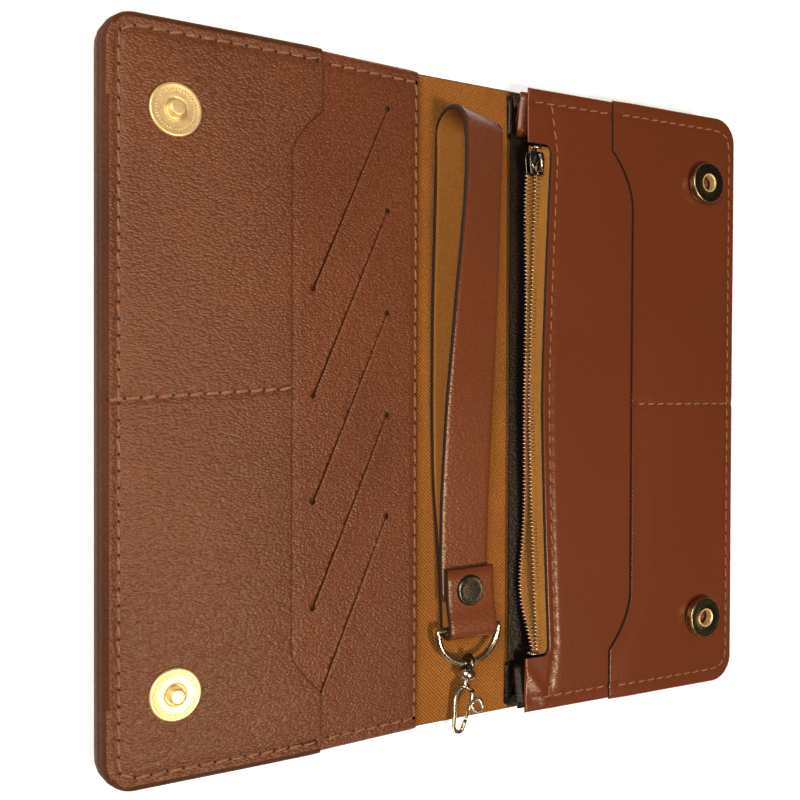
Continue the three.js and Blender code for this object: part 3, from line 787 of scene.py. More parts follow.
def slit_lip(x, y):
    """The mouth of each card slot stands up a little along its right-hand side."""
    lift = np.zeros_like(x)
    run = np.array(SLIT_UPPER) - np.array(SLIT_LOWER)
    length = np.linalg.norm(run)
    run /= length
    for i in range(SLIT_COUNT):
        dx, dy = x - SLIT_LOWER[0], y - (SLIT_LOWER[1] - i * SLIT_PITCH)
        along = dx * run[0] + dy * run[1]
        across = dx * run[1] - dy * run[0]
        window = np.clip(along / 8, 0, 1) * np.clip((length - along) / 14, 0, 1)
        raised = 0.3 * np.exp(-across / 5) * (across > 0)
        lift += window * (raised - 0.12 * np.exp(across / 3) * (across <= 0))
    return lift


BLADE_SIDES = [(0, 1, 3, 2), (4, 6, 7, 5), (0, 4, 5, 1), (2, 3, 7, 6), (0, 2, 6, 4), (1, 5, 7, 3)]


def slit_tools():
    """Thin tapered blades, one for each slit, joined into one cutter."""
    verts, faces = [], []
    start, end = np.array(SLIT_LOWER), np.array(SLIT_UPPER)
    run = (end - start) / np.linalg.norm(end - start)
    side = np.array([-run[1], run[0]])
    for i in range(SLIT_COUNT):
        drop = np.array([0, -i * SLIT_PITCH])
        base = len(verts)
        for spot, half in ((start, 0.24), (end, 0.09)):
            for z in (0, SLIT_TOOL_TOP):
                for sign in (-1, 1):
                    verts.append([*(spot + drop + sign * half * side), z])
        faces += [tuple(base + k for k in quad) for quad in BLADE_SIDES]
    return mesh_object("slit_cutter", verts, faces, HOLE_SHADE, smooth=False)


def punch_tools():
    """A round punch for each end of each slit, joined into one cutter."""
    verts, faces = [], []
    for i in range(SLIT_COUNT):
        for spot in (SLIT_LOWER, SLIT_UPPER):
            place = [spot[0], spot[1] - i * SLIT_PITCH]
            path = [[*place, 0.5], [*place, SLIT_TOOL_TOP]]
            tube_mesh(path, 0.75, 14, verts, faces, up=(0, 1, 0))
    return mesh_object("punch_cutter", verts, faces, HOLE_SHADE, smooth=False)


def carve(piece, tool):
    """Cuts a tool out of a piece and drops the tool."""
    change = piece.modifiers.new("cut", "BOOLEAN")
    change.operation = "DIFFERENCE"
    change.solver = "MANIFOLD"
    change.object = tool
    bpy.context.view_layer.objects.active = piece
    bpy.ops.object.modifier_apply(modifier=change.name)
    bpy.data.objects.remove(tool)


def build_card_panel():
    """The card panel, cut through by its slits, and its stitches."""
    inset = 0.7
    half = HALF - inset

    def left(v):
        return FRONT_EDGE + inset + corner_inset(v, half, CORNER)

    x, y = sheet_grid(left, lambda v: CARD_EDGE, half, 1.0, radius=1.0)
    inward = front_distance(x, y) - inset
    from_spine = CARD_EDGE - x
    runs = split_run(FRONT_RUN, lambda a, b: not on_pocket(a, b)) + [FRONT_SEAM]
    shown = np.clip((x - pocket_mouth(y) + 2) / 2, 0, 1)
    top = card_surface(x, y) + slit_lip(x, y) * shown - pucker(x, y, runs, 0.22)
    under_pocket = POCKET_TOP - POCKET_SHEET - 0.08
    top = np.where(x < pocket_mouth(y) + 1, np.minimum(top, under_pocket), top)
    bottom = np.minimum(card_plane(x) - CARD_SHEET, top - 0.55)
    top = top - round_over(inward, 1.2) - 1.5 * round_over(from_spine, 1.3)
    bottom = bottom - 0.4 * round_over(inward, 1.2) - 1.6 * round_over(from_spine, 1.3)
    piece = slab("card_panel_leather", x, y, np.maximum(top, bottom + 0.15), bottom, CARD)
    carve(piece, slit_tools())
    carve(piece, punch_tools())
    fit(piece, "front_cover", "brown_leather", "card_panel")
    sew("card_panel", runs, lambda a, b: float(card_surface(a, b)) - 0.1, "front_cover", seed=5)


def lathe(name, profile, material):
    """A turned piece about Z from a profile of (radius, height)."""
    sides = 64
    verts, faces, rings = [], [], []
    for radius, height in profile:
        if radius < 1e-6:
            rings.append([len(verts)])
            verts.append((0, 0, height))
        else:
            rings.append(list(range(len(verts), len(verts) + sides)))
            for k in range(sides):
                angle = 2 * math.pi * k / sides
                verts.append((radius * math.cos(angle), radius * math.sin(angle), height))
    for a, b in zip(rings, rings[1:]):
        for k in range(sides):
            n = (k + 1) % sides
            if len(a) == 1:
                faces.append((a[0], b[k], b[n]))
            elif len(b) == 1:
                faces.append((a[k], b[0], a[n]))
            else:
                faces.append((a[k], b[k], b[n], a[n]))
    return mesh_object(name, verts, faces, material)


def seat(piece, place, tilt=0.0):
    """Moves a turned piece's mesh to its place in the row frame."""
    turn = Matrix.Rotation(tilt, 4, "Y")
    piece.data.transform(Matrix.Translation(Vector(place) * MM) @ turn)
    return piece


def build_male_snap(name):
    """A gold disc with a stud in its middle and short radial marks round it."""
    low, high = corners(f"male_snap_{name}")
    centre = (low + high) / 2
    radius = (high[0] - low[0]) / 2
    face = POCKET_TOP + 0.05
    stud = high[2] - face
    plate_rim = [(0, -1.2), (2.4, -1.2), (radius - 0.5, -0.5), (radius - 0.05, 0.1), (radius, 0.35)]
    plate_rim += [(radius - 0.03, 0.62), (radius - 0.14, 0.84), (radius - 0.32, 0.96)]
    plate_rim += [(radius - 0.55, 1.0), (radius - 0.75, 0.99), (radius - 0.85, 0.95)]
    hollow = [(4.0, 0.93), (3.2, 0.92), (2.95, 0.86), (2.8, 0.6), (2.25, 0.55), (2.15, 0.7)]
    tip = [(2.12, stud - 0.45), (2.02, stud - 0.18), (1.8, stud - 0.04), (1.5, stud), (0, stud)]
    profile = plate_rim + hollow + tip
    plate = lathe(f"male_snap_{name}_plate", profile, GOLD)
    seat(plate, (centre[0], centre[1], face))
    fit(plate, "front_cover", "gold_metal", f"male_snap_{name}")
    verts, faces = [], []
    marks = 40
    for k in range(marks):
        angle = 2 * math.pi * k / marks
        ray = np.array([math.cos(angle), math.sin(angle), 0])
        path = [ray * 4.6 + [0, 0, 0.93], ray * 5.5 + [0, 0, 0.93]]
        tube_mesh(path, 0.14, 6, verts, faces, flat=0.5)
    knurl = mesh_object(f"male_snap_{name}_knurl", verts, faces, GOLD)
    seat(knurl, (centre[0], centre[1], face))
    fit(knurl, "front_cover", "gold_metal")


# ---------------------------------------------------------------- spine and rear cover


def build_rear_shell():
    """The outer leather from the middle of the spine to the rear cover's outer edge."""
    y = rounded_stations(-HALF, HALF, 2.5, radius=1.2)
    offsets = np.r_[np.arange(0, 22, 0.8), np.arange(22, REAR_EDGE - 2, 3)]
    edge = REAR_EDGE - 1.2 * (1 - np.cos(np.linspace(math.pi / 2, 0, 7)))
    offsets = np.r_[offsets, edge] / REAR_EDGE
    end = np.array([REAR_EDGE - corner_inset(v, HALF, CORNER) for v in y])[:, None]
    x = end * offsets[None, :]
    y = np.repeat(y[:, None], x.shape[1], 1)
    inward = outline_distance(x, y, REAR_EDGE, 1, HALF, CORNER)
    inward = np.where(x < 40, HALF - np.abs(y), inward)
    bottom = rear_floor(x) + round_over(inward, 1.0) * 0.45
    top = rear_floor(x) + LEATHER - round_over(inward, 1.0) * 0.45
    shell = slab("rear_cover_shell", x, y, top, bottom, COVER)
    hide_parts("rear_cover_leather")
    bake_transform(shell)


def build_linings():
    """The twill lining in two pieces that meet in the middle of the spine."""
    half = HALF - 0.6
    y = rounded_stations(-half, half, 3, radius=0.3, fine=3)
    spine_x = np.r_[np.arange(CARD_EDGE - 5, 0, 0.8), 0]
    x, yy = np.meshgrid(spine_x, y)
    top = LINING_TOP + ripple(x, yy, 0.03) * np.clip(-x / 4, 0, 1)
    front = slab("spine_canvas_front", x, yy, top, top * 0 + LEATHER + 0.05, CANVAS)
    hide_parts("front_lining", "spine_lining")
    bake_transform(front)
    end = corners("rear_lining")[1][0] - 8  # the hidden part under the pouch's seam is left off
    rear_x = np.r_[np.arange(0, 22, 0.8), np.arange(22, end, 3), end]
    x, yy = np.meshgrid(rear_x, y)
    top = rear_floor(x) + LINING_TOP + ripple(x, yy, 0.03) * np.clip(x / 4, 0, 1)
    rear = slab("rear_canvas", x, yy, top, rear_floor(x) + LEATHER + 0.05, CANVAS)
    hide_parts("rear_lining")
    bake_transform(rear)


def folded_strip(name, node, side, floor, ceiling, sheet, start_x):
    """A gusset's folded end: a V on its side that fills the compartment's depth."""
    low, high = corners(node)
    x = np.linspace(start_x, high[0], 24)
    open_y, fold_y = HALF - 2.2, HALF - 15.5
    turn = np.linspace(0, 1, 7)
    legs = [(open_y + (fold_y - open_y) * t, 0.5 * t) for t in turn]
    legs += [(fold_y + (open_y - fold_y) * t, 0.5 + 0.5 * t) for t in turn[1:]]
    verts, faces = [], []
    profile_count = len(legs) * 2
    for station in x:
        bottom, top = floor(station) + 0.03, ceiling(station) - 0.03
        centre = []
        for along, share in legs:
            eased = share + 0.06 * math.sin(2 * math.pi * share)
            centre.append((along, bottom + sheet / 2 + eased * (top - bottom - sheet)))
        loop = []
        for i, (along, height) in enumerate(centre):
            before, after = centre[max(i - 1, 0)], centre[min(i + 1, len(centre) - 1)]
            direction = np.array([after[0] - before[0], after[1] - before[1]])
            if np.linalg.norm(direction) < 1e-6:
                direction = np.array([0, 1.0])
            direction /= np.linalg.norm(direction)
            loop.append((along, height, -direction[1], direction[0]))
        outer = [(a + n * sheet / 2, z + m * sheet / 2) for a, z, n, m in loop]
        inner = [(a - n * sheet / 2, z - m * sheet / 2) for a, z, n, m in loop]
        for along, height in outer + inner[::-1]:
            verts.append((station, side * along, min(max(height, bottom), top)))
    for i in range(len(x) - 1):
        for k in range(profile_count):
            a = i * profile_count + k
            b = i * profile_count + (k + 1) % profile_count
            faces.append((a, b, b + profile_count, a + profile_count))
    faces.append(tuple(range(profile_count))[::-1])
    last = (len(x) - 1) * profile_count
    faces.append(tuple(last + k for k in range(profile_count)))
    return mesh_object(name, verts, faces, BLACK_AND_SHADE)


BILL_GAP = 1.3  # depth of the bill compartment at its mouth
BACK_WALL_SHEET = 0.6
# carried out beside the zip so the dark sheet also fills a shaded gap: partly black leather, partly painted
# shade
BACK_WALL_EDGE = 17.9


def wall_under(x):
    """Height of the underside of the pouch's back wall."""
    share = (x - PANEL_EDGE) / (REAR_EDGE - PANEL_EDGE)
    return rear_floor(x) + LINING_TOP + BILL_GAP - 0.4 * share


def pouch_floor(x):
    return wall_under(x) + BACK_WALL_SHEET


def pouch_ceiling(x):
    return float(panel_plane(x)) - PANEL_SHEET


def build_gussets():
    """The folded ends of the bill compartment and of the pouch above it."""
    bill_start, pouch_start = 17.4, 18.2
    bill_sheet, pouch_sheet = 0.3, 0.7
    for name, side in (("top", 1), ("bottom", -1)):
        bill = folded_strip(
            f"bill_gusset_{name}_leather",
            f"bill_gusset_{name}",
            side,
            lambda x: float(rear_floor(x)) + LINING_TOP,
            wall_under,
            bill_sheet,
            bill_start,
        )
        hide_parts(f"bill_gusset_{name}")
        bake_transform(bill)
        pouch = folded_strip(
            f"pouch_gusset_{name}_leather",
            f"pouch_gusset_{name}",
            side,
            pouch_floor,
            pouch_ceiling,
            pouch_sheet,
            pouch_start,
        )
        pouch.data.materials.append(PANEL)
        if side > 0:  # the top end's upper leg is brown
            paint(pouch, lambda x, y, z: z > (pouch_floor(x) + pouch_ceiling(x)) / 2)
        fit(pouch, "pouch", "black_leather", f"pouch_gusset_{name}")


# ---------------------------------------------------------------- zip pouch

ZIP_HALF = 82.0  # half the cut-out's length
ZIP_CORNER = 3
ZIP_BOW_HALF = 79  # half the bowed part's length, up to the rounded ends


def zip_edge(y):
    """The cut-out's edge: a shallow bow with rounded ends, and the full panel past them."""
    along = np.clip(np.abs(y) / ZIP_BOW_HALF, 0, 1)
    bow = 26.3 + 3.0 * along**1.3
    end = np.clip((np.abs(y) - ZIP_BOW_HALF) / ZIP_CORNER, 0, 1)
    bow = bow - 2.4 * (1 - np.sqrt(np.maximum(1 - end**2, 0)))
    return np.where(np.abs(y) > ZIP_HALF, PANEL_EDGE, bow)


def zip_seam_x(y):
    """The stitches beside the zip: straight on past the cut-out to the panel's ends."""
    along = np.clip(np.abs(y) / ZIP_BOW_HALF, 0, 1)
    past = np.clip((np.abs(y) - ZIP_BOW_HALF) / 17, 0, 1)
    return 29.0 + 2.9 * along**1.4 - 2.6 * past


PANEL_BORDER = 4.2  # from the panel's ends to the stitches
POUCH_STITCH = {"pitch": 4.1, "thick": 0.27, "hole": 0.34}
PANEL_INSET = 0.7  # from the cover's outline to the panel's
PANEL_HALF = HALF - PANEL_INSET
SEAM_STITCH_X = SEAM - 2.4
ZIP_RUN = [(float(zip_seam_x(v)), v) for v in np.linspace(95.4, -95.4, 60)]
PANEL_RUN = rounded_path(
    [
        (PANEL_EDGE + 2.2, PANEL_HALF - PANEL_BORDER),
        (SEAM_STITCH_X, PANEL_HALF - PANEL_BORDER),
        (SEAM_STITCH_X, PANEL_BORDER + PANEL_INSET - HALF),
        (PANEL_EDGE + 2.2, PANEL_BORDER + PANEL_INSET - HALF),
    ],
    5.0,
)


def patch_mouth(y):
    """The rear pocket's mouth: straight ends, then a long curve into the dip."""
    share = np.clip((83 - np.abs(y)) / 19, 0, 1)
    return 53.5 + 8.8 * (1 - (1 - share) ** 1.9)


PATCH_CENTRE = [(64.6, -1.0), (SEAM_STITCH_X, -1.0)]


def panel_distance(x, y):
    return outline_distance(x, y, SEAM, 1, PANEL_HALF, CORNER - PANEL_INSET)


def panel_stitch_distance(x, y):
    """How far in from the line of the outer stitches, which lie nearer the side than the ends."""
    return np.minimum(SEAM_STITCH_X - x, PANEL_HALF - PANEL_BORDER - np.abs(y))


def panel_surface(x, y):
    """The pouch front's face: stitches, sagging ends by the zip, one crease at its low end."""
    x, y = np.asarray(x, float), np.asarray(y, float)
    height = panel_plane(x) - 0.28 * valley(panel_stitch_distance(x, y), 0.8)
    height = height - 0.3 * valley(x - zip_seam_x(y), 0.8)
    sag = valley(np.abs(y) - 90, 9) * np.clip((34 - x) / 14, 0, 1)
    slant = (x - PANEL_EDGE - 5) * 0.8 + (y + 92) * 0.6
    crease = 0.55 * valley(slant, 1.6) * np.clip((36 - x) / 8, 0, 1) * valley(y + 92, 10)
    return height - 0.5 * sag + crease + ripple(x, y, 0.07)


def patch_surface(x, y):
    """The rear pocket's face: stitches, a dimple round each snap, and a low bulge."""
    x, y = np.asarray(x, float), np.asarray(y, float)
    height = panel_plane(x) + PANEL_SHEET + 0.12
    height = height - 0.3 * valley(panel_stitch_distance(x, y), 0.8) - 0.3 * valley(y + 1.0, 1.0)
    for side in (-1, 1):
        from_snap = np.hypot(x - SNAP_X, y - side * SNAP_Y)
        height = height - 0.3 * valley(np.maximum(from_snap - SNAP_REST, 0), 2.2)
    bulge = 0.35 * np.clip((x - patch_mouth(y)) / 8, 0, 1)
    return height + bulge - 0.25 + ripple(x, y, 0.07)


def on_patch(x, y):
    return x > patch_mouth(y) + 1


def build_panel():
    """The pouch's front with the zip's cut-out, which has a painted edge."""
    half = PANEL_HALF
    extra = [ZIP_HALF - 0.06, ZIP_HALF + 0.06]  # a row of points on each side of the cut-out's end
    y = rounded_stations(-half, half, 0.95, radius=1.0)
    corner = ZIP_HALF - ZIP_CORNER * (1 - np.cos(np.linspace(0.2, math.pi / 2, 6)))
    y = np.unique(np.r_[y, extra, [-e for e in extra], corner, -corner])
    width = SEAM - 28.0
    across = rounded_stations(0, width, 1.0, radius=0.8) / width
    low = zip_edge(y)[:, None]
    high = (SEAM - corner_inset(y, half, CORNER - PANEL_INSET))[:, None]
    x = low + (high - low) * across[None, :]
    y = np.repeat(y[:, None], x.shape[1], 1)
    inward = panel_distance(x, y)
    from_zip = np.where(np.abs(y) > ZIP_HALF, x - PANEL_EDGE, x - zip_edge(y))
    runs = [ZIP_RUN] + split_run(PANEL_RUN, lambda a, b: not on_patch(a, b))
    top = panel_surface(x, y) - pucker(x, y, runs, 0.2)
    patch_floor = panel_plane(x) - 0.02
    top = np.where(x > patch_mouth(y) + 0.5, np.minimum(top, patch_floor), top)
    bottom = np.minimum(panel_plane(x) - PANEL_SHEET, top - 0.55)
    outer = np.clip((2.2 - (SEAM - x)) / 2.2, 0, 1) ** 2
    top = top - round_over(inward, 1.0) * 0.7 - round_over(from_zip, 0.6) * 0.75 - outer * 1.6
    bottom = bottom - 3.6 * np.clip((3.0 - (SEAM - x)) / 3.0, 0, 1) ** 2
    piece = slab("pouch_panel_leather", x, y, np.maximum(top, bottom + 0.2), bottom, [PANEL, EDGE])

    def by_zip(x, y, z):
        return abs(y) < ZIP_HALF + 0.4 and x - zip_edge(min(abs(y), ZIP_HALF)) < 0.4

    paint(piece, by_zip)
    fit(piece, "pouch", "red_leather", "pouch_front_panel")
    sew("pouch_panel", runs, lambda a, b: float(panel_surface(a, b)) - 0.1, "pouch", 7, **POUCH_STITCH)


def build_patch():
    """The rear flat pocket on the pouch's front; its mouth has a painted edge."""
    inset = 0.4
    half, corner, edge = HALF - inset, CORNER - inset, SEAM + 0.3
    x, y = sheet_grid(patch_mouth, lambda v: edge - corner_inset(v, half, corner), half, 0.95, radius=0.8)
    inward = outline_distance(x, y, edge, 1, half, corner)
    from_mouth = x - patch_mouth(y)
    runs = split_run(PANEL_RUN, on_patch) + [PATCH_CENTRE]
    lift = 0.28 * np.exp(-from_mouth / 3.0) * np.clip((90 - np.abs(y)) / 12, 0, 1)
    top = patch_surface(x, y) + lift - pucker(x, y, runs, 0.2)
    bottom = np.minimum(panel_plane(x) + 0.1 + lift, top - 0.5)
    top = top - round_over(inward, 1.2) * 0.8 - round_over(from_mouth, 0.3) * 0.6
    bottom = bottom - round_over(inward, 1.2) * 0.3
    piece = slab("rear_pocket_leather", x, y, np.maximum(top, bottom + 0.2), bottom, [PANEL, EDGE])
    paint(piece, lambda x, y, z: x - patch_mouth(y) < 0.22 and abs(y) < half - 1)
    fit(piece, "pouch", "red_leather", "rear_pocket")
    sew("rear_pocket", runs, lambda a, b: float(patch_surface(a, b)) - 0.12, "pouch", 9, **POUCH_STITCH)


def build_back_wall():
    """The black sheet between the bill compartment and the pouch; its free edge fills
    the gap beside the zip, where its dark colour is partly painted shade for the compartment's mouth."""
    edge = corners("pouch_back_wall")[1][0]
    half = HALF - 1.5

    def right(v):
        return edge - corner_inset(v, half, 8.3)

    x, y = sheet_grid(lambda v: BACK_WALL_EDGE, right, half, 3.0, radius=0.3)
    bottom = wall_under(x)
    piece = slab("pouch_back_wall_leather", x, y, bottom + BACK_WALL_SHEET, bottom, BLACK_AND_SHADE)
    fit(piece, "pouch", "black_leather", "pouch_back_wall")


row_low, row_high = corners("zip_teeth_front")
ROW_X, _, ROW_Z = (row_low + row_high) / 2
TOOTH_PITCH = 1.2
TOOTH = [(-1.3, -0.12), (-0.9, 0.1), (0, 0.16), (0.9, 0.05), (1.3, -0.2)]  # across, up
TOOTH_RADII = [0.2, 0.3, 0.27, 0.27, 0.2]


def row_x(y, deep):
    """Where a row of teeth runs. The front one bows with the cut-out, and the back one
    hangs under it, showing on the spine's side near both ends."""
    along = np.clip(np.abs(y) / 80, 0, 1) ** 1.3
    x = ROW_X - 1.9 + np.where(y > 0, 2.3, 3.4) * along
    if deep:
        x = x - 0.8 - 1.7 * valley(y - 66, 24) - 2.6 * valley(y + 60, 15)
    return x


def row_z(y, deep):
    """How high a row of teeth lies. The back one is lower and rises to meet the front one."""
    if not deep:
        return ROW_Z + 0 * y
    meet = np.clip((-y - 62) / 18, 0, 1) ** 2
    return ROW_Z - (1.5 + 1.5 * valley(y + 50, 30)) * (1 - meet) - 0.4 * meet


def build_zip():
    """Two rows of teeth, each on its own woven tape, and the stops at their ends."""
    reach = row_high[1]
    for name, deep in (("front", False), ("back", True)):
        verts, faces = [], []
        for k in range(int(2 * reach / TOOTH_PITCH)):
            y = -reach + TOOTH_PITCH * (k + 0.5)
            centre = np.array([float(row_x(y, deep)), y, float(row_z(y, deep))])
            path = [centre + [dx, 0.12 * dx, dz] for dx, dz in TOOTH]
            tube_mesh(path, TOOTH_RADII, 8, verts, faces, flat=1.2)
        teeth = mesh_object(f"zip_row_{name}", verts, faces, TEETH)
        fit(teeth, "pouch", "zip_metal", f"zip_teeth_{name}")
        tape_y = np.linspace(-reach - 1.4, reach + 1.4, 110)
        across = np.r_[-0.5, 0.2, np.linspace(1.0, 10.0, 12)]
        yy = np.repeat(tape_y[:, None], len(across), 1)
        x = row_x(yy, deep) + across[None, :]
        z = row_z(yy, deep) + 0.05 * np.sin(yy / 6)
        roll = 0.32 * valley(across[None, :] - 0.2, 0.8)
        if not deep:  # past the cut-out's edge the tape stays under the panel
            ceiling = panel_plane(x) - PANEL_SHEET - 0.35
            beyond = np.clip((x - zip_edge(yy) + 1.5) / 2.0, 0, 1)
            tucked = z * (1 - beyond) + np.minimum(z, ceiling) * beyond
            z = np.where(across[None, :] > 1.2, tucked, z)
        tape = slab(f"zip_tape_{name}_cloth", x, yy, z + 0.14 + roll, z - 0.14, TAPE)
        fit(tape, "pouch", "zip_tape", f"zip_tape_{name}")
    for name in ("top", "bottom"):
        low, high = corners(f"zip_stop_{name}")
        middle = (low + high) / 2
        verts, faces = [], []
        for dz in (1.6, 3.0):
            clamp = [(-1.6, dz - 0.6), (-1.2, dz), (1.2, dz), (1.6, dz - 0.6)]
            path = [middle + [across, 0, up] for across, up in clamp]
            tube_mesh(path, [0.45, 0.55, 0.55, 0.45], 10, verts, faces)
        stop = mesh_object(f"zip_stop_{name}_clamp", verts, faces, TEETH)
        fit(stop, "pouch", "zip_metal", f"zip_stop_{name}")


def bevelled_plate(name, outline, low, high, material):
    """An outline in X and Y raised between two heights, with rounded edges."""
    verts = [(*p, low) for p in outline] + [(*p, high) for p in outline]
    count = len(outline)
    faces = [tuple(range(count))[::-1], tuple(range(count, 2 * count))]
    faces += [(k, (k + 1) % count, (k + 1) % count + count, k + count) for k in range(count)]
    piece = mesh_object(name, verts, faces, material)
    change = piece.modifiers.new("round", "BEVEL")
    change.width = 0.25 * MM
    change.segments = 3
    change.limit_method = "ANGLE"
    bpy.context.view_layer.objects.active = piece
    bpy.ops.object.modifier_apply(modifier=change.name)
    return piece


SLIDER = [(-2.3, 3.6), (2.5, 3.6), (3.0, 1.4), (2.6, -3.6), (1.2, -3.8), (-1.0, -3.8), (-2.4, -3.6)]
SLIDER += [(-2.9, 1.4)]


def build_slider():
    """Two plates above and below the teeth, a post, a bail and an inlaid V; then the pull."""
    low, high = corners("zip_slider")
    centre = (low + high) / 2
    row = ROW_Z
    cx, cy = centre[0] - 0.3, centre[1]
    outline = [(cx + a, cy + b) for a, b in SLIDER]
    upper = bevelled_plate("zip_slider_top", outline, row + 0.75, row + 1.55, GUNMETAL)
    lower = bevelled_plate("zip_slider_base", outline, row - 1.55, row - 0.75, GUNMETAL)
    fit(upper, "zip_slider", "dark_metal", "zip_slider")
    fit(lower, "zip_slider", "dark_metal")
    verts, faces = [], []
    arch = [(2.5, 0), (2.3, 1.2), (1.2, 1.9), (0, 2.05), (-1.2, 1.9), (-2.3, 1.2), (-2.5, 0)]
    path = [(cx + 0.3, cy + b, row + 1.4 + c) for b, c in arch]
    tube_mesh(path, 0.5, 10, verts, faces, up=(1, 0, 0))
    post = [(cx - 0.2, cy + 2.2, row - 1.2), (cx - 0.2, cy + 2.2, row + 1.2)]
    tube_mesh(post, 0.8, 12, verts, faces, up=(0, 1, 0))
    vee = [(cx - 2.6, cy + 0.6, row + 1.5), (cx - 0.3, cy - 3.6, row + 1.5), (cx + 2.7, cy + 0.6, row + 1.5)]
    tube_mesh(vee, [0.3, 0.38, 0.3], 8, verts, faces)
    bridge = mesh_object("zip_slider_bridge", verts, faces, NICKEL)
    fit(bridge, "zip_slider", "dark_metal")

    low, high = corners("zip_pull")
    hinge = (low[2] + high[2]) / 2
    px = (low[0] + high[0]) / 2 - 0.8
    reach, wide = 1.9, 1.25  # half the loop's length and width
    verts, faces, loop = [], [], []
    for t in np.linspace(0, 2 * math.pi, 40, endpoint=False):
        squared = math.copysign(abs(math.cos(t)) ** 0.75, math.cos(t))
        loop.append((px + wide * squared, cy - reach + reach * math.sin(t), hinge))
    tube_mesh(loop, 0.42, 10, verts, faces, closed=True)
    pull = mesh_object("zip_pull_loop", verts, faces, GUNMETAL)
    fit(pull, "zip_pull", "dark_metal", "zip_pull")


def build_socket(name, side):
    """A bronze rim round a dark recessed face, with a gold collar round the stud's hole."""
    high = corners(f"socket_casing_{name}")[1]
    tilt = -math.atan((PANEL_TOP_AT_SEAM - PANEL_TOP_AT_EDGE) / (REAR_EDGE - PANEL_EDGE))
    base = float(panel_plane(SNAP_X)) + PANEL_SHEET + 0.4
    height = high[2] - base - 0.25
    collar = [(2.5, 0.2), (2.5, height - 0.42), (2.62, height - 0.12), (2.9, height + 0.02)]
    collar += [(3.2, height), (3.35, height - 0.08)]
    rim = [(6.1, height - 0.08), (6.35, height - 0.05), (6.62, height - 0.12), (6.85, height - 0.32)]
    rim += [(6.97, height - 0.65), (7.0, 0.2), (6.9, -0.5)]
    base_ring = [(5.0, -0.7), (2.5, -0.7), (2.5, 0.2)]
    casing = lathe(f"socket_{name}_cup", collar + rim + base_ring, [ANTIQUE, GOLD, BRONZE])
    paint(casing, lambda x, y, z: math.hypot(x, y) < 3.25 and z > 0.4, 1)
    paint(casing, lambda x, y, z: math.hypot(x, y) > 6.5, 2)
    seat(casing, (SNAP_X, side * SNAP_Y, base), tilt)
    fit(casing, "pouch", "dark_metal", f"socket_casing_{name}")


# ---------------------------------------------------------------- strap and clasp


def bezier(a, b, c, d, steps):
    """Points along a cubic curve, without its first one."""
    return [
        (1 - t) ** 3 * a + 3 * t * (1 - t) ** 2 * b + 3 * t * t * (1 - t) * c + t**3 * d
        for t in np.linspace(0, 1, steps + 1)[1:]
    ]


strap_low, strap_high = corners("strap_leather")
STRAP_SHEET = 1.5
STRAP_HALF = (strap_high[0] - strap_low[0]) / 2
FACE_POINTS = 13  # points across each face of the strap
ring_low, ring_high = corners("d_ring")
WIRE = 1.0  # radius of the D-ring's wire
RING_Z = (ring_low[2] + ring_high[2]) / 2
RING_Y = ring_high[1] - WIRE
RING_X = (ring_low[0] + ring_high[0]) / 2
cap_low, cap_high = corners("rivet_cap")
RIVET_Y = (cap_low[1] + cap_high[1]) / 2


def strap_line():
    """The strap's middle line in Y and Z, as the CAD solid has it."""
    lie = strap_low[2] + STRAP_SHEET / 2
    crest = strap_high[2] - STRAP_SHEET / 2
    fold_y = 81.0
    wrap = (RING_Z + WIRE + 0.3 + STRAP_SHEET / 2 - lie) / 2
    over = lie + 2 * wrap
    clamped = lie + 2 * (STRAP_SHEET + 0.2) + 0.3
    nip = lie + STRAP_SHEET + 0.2
    nose = wrap * 1.3
    bend = (crest - lie) / 2 * 1.3

    def at(y, z):
        return np.array([y, z])

    line = [at(-51.6, clamped), at(-55, clamped), at(RIVET_Y - 2, clamped)]
    line += bezier(line[-1], at(-66, clamped), at(-66, over), at(RING_Y, over), 10)
    line += bezier(line[-1], at(RING_Y - nose, over), at(RING_Y - nose, lie), at(RING_Y, lie), 12)
    line += [at(y, lie) for y in np.linspace(RING_Y, fold_y, 60)[1:]]
    line += bezier(line[-1], at(fold_y + bend, lie), at(fold_y + bend, crest), at(fold_y, crest), 20)
    line += bezier(line[-1], at(20, crest - 1), at(-20, nip + 1), at(-50, nip), 60)
    line += [at(y, nip) for y in np.linspace(-50, RIVET_Y - 3, 5)[1:]]
    return line


# How far along the strap, where its middle is in X there, and how far it rolls (degrees).
STRAP_SWAY = [
    (0, 0.7, 0),
    (20, 1.5, 0),
    (28, 1.4, 0),
    (46, 0.3, 0),
    (72, -2.0, 0),
    (97, -2.5, 0),
    (127, -2.4, 0),
    (157, -1.6, 0),
    (177, -0.9, 3),
    (197, -0.4, 19),
    (215, -0.6, 19),
    (245, -1.1, 10),
    (277, -1.2, 2),
    (307, -0.8, 0),
    (338, 0.2, 0),
]


def strap_section(half, thick, soft):
    """Across the strap: the inner face, one edge, the outer face, the other edge."""
    across = np.linspace(soft - half, half - soft, FACE_POINTS)
    face = [(a, thick * (1 + 0.06 * math.cos(math.pi * a / (2 * half)))) for a in across]
    lip = half - soft * 0.3
    edge = [(lip, thick * 0.8), (half, thick * 0.35), (half, -thick * 0.35), (lip, -thick * 0.8)]
    return face + edge + [(-a, -b) for a, b in face + edge]


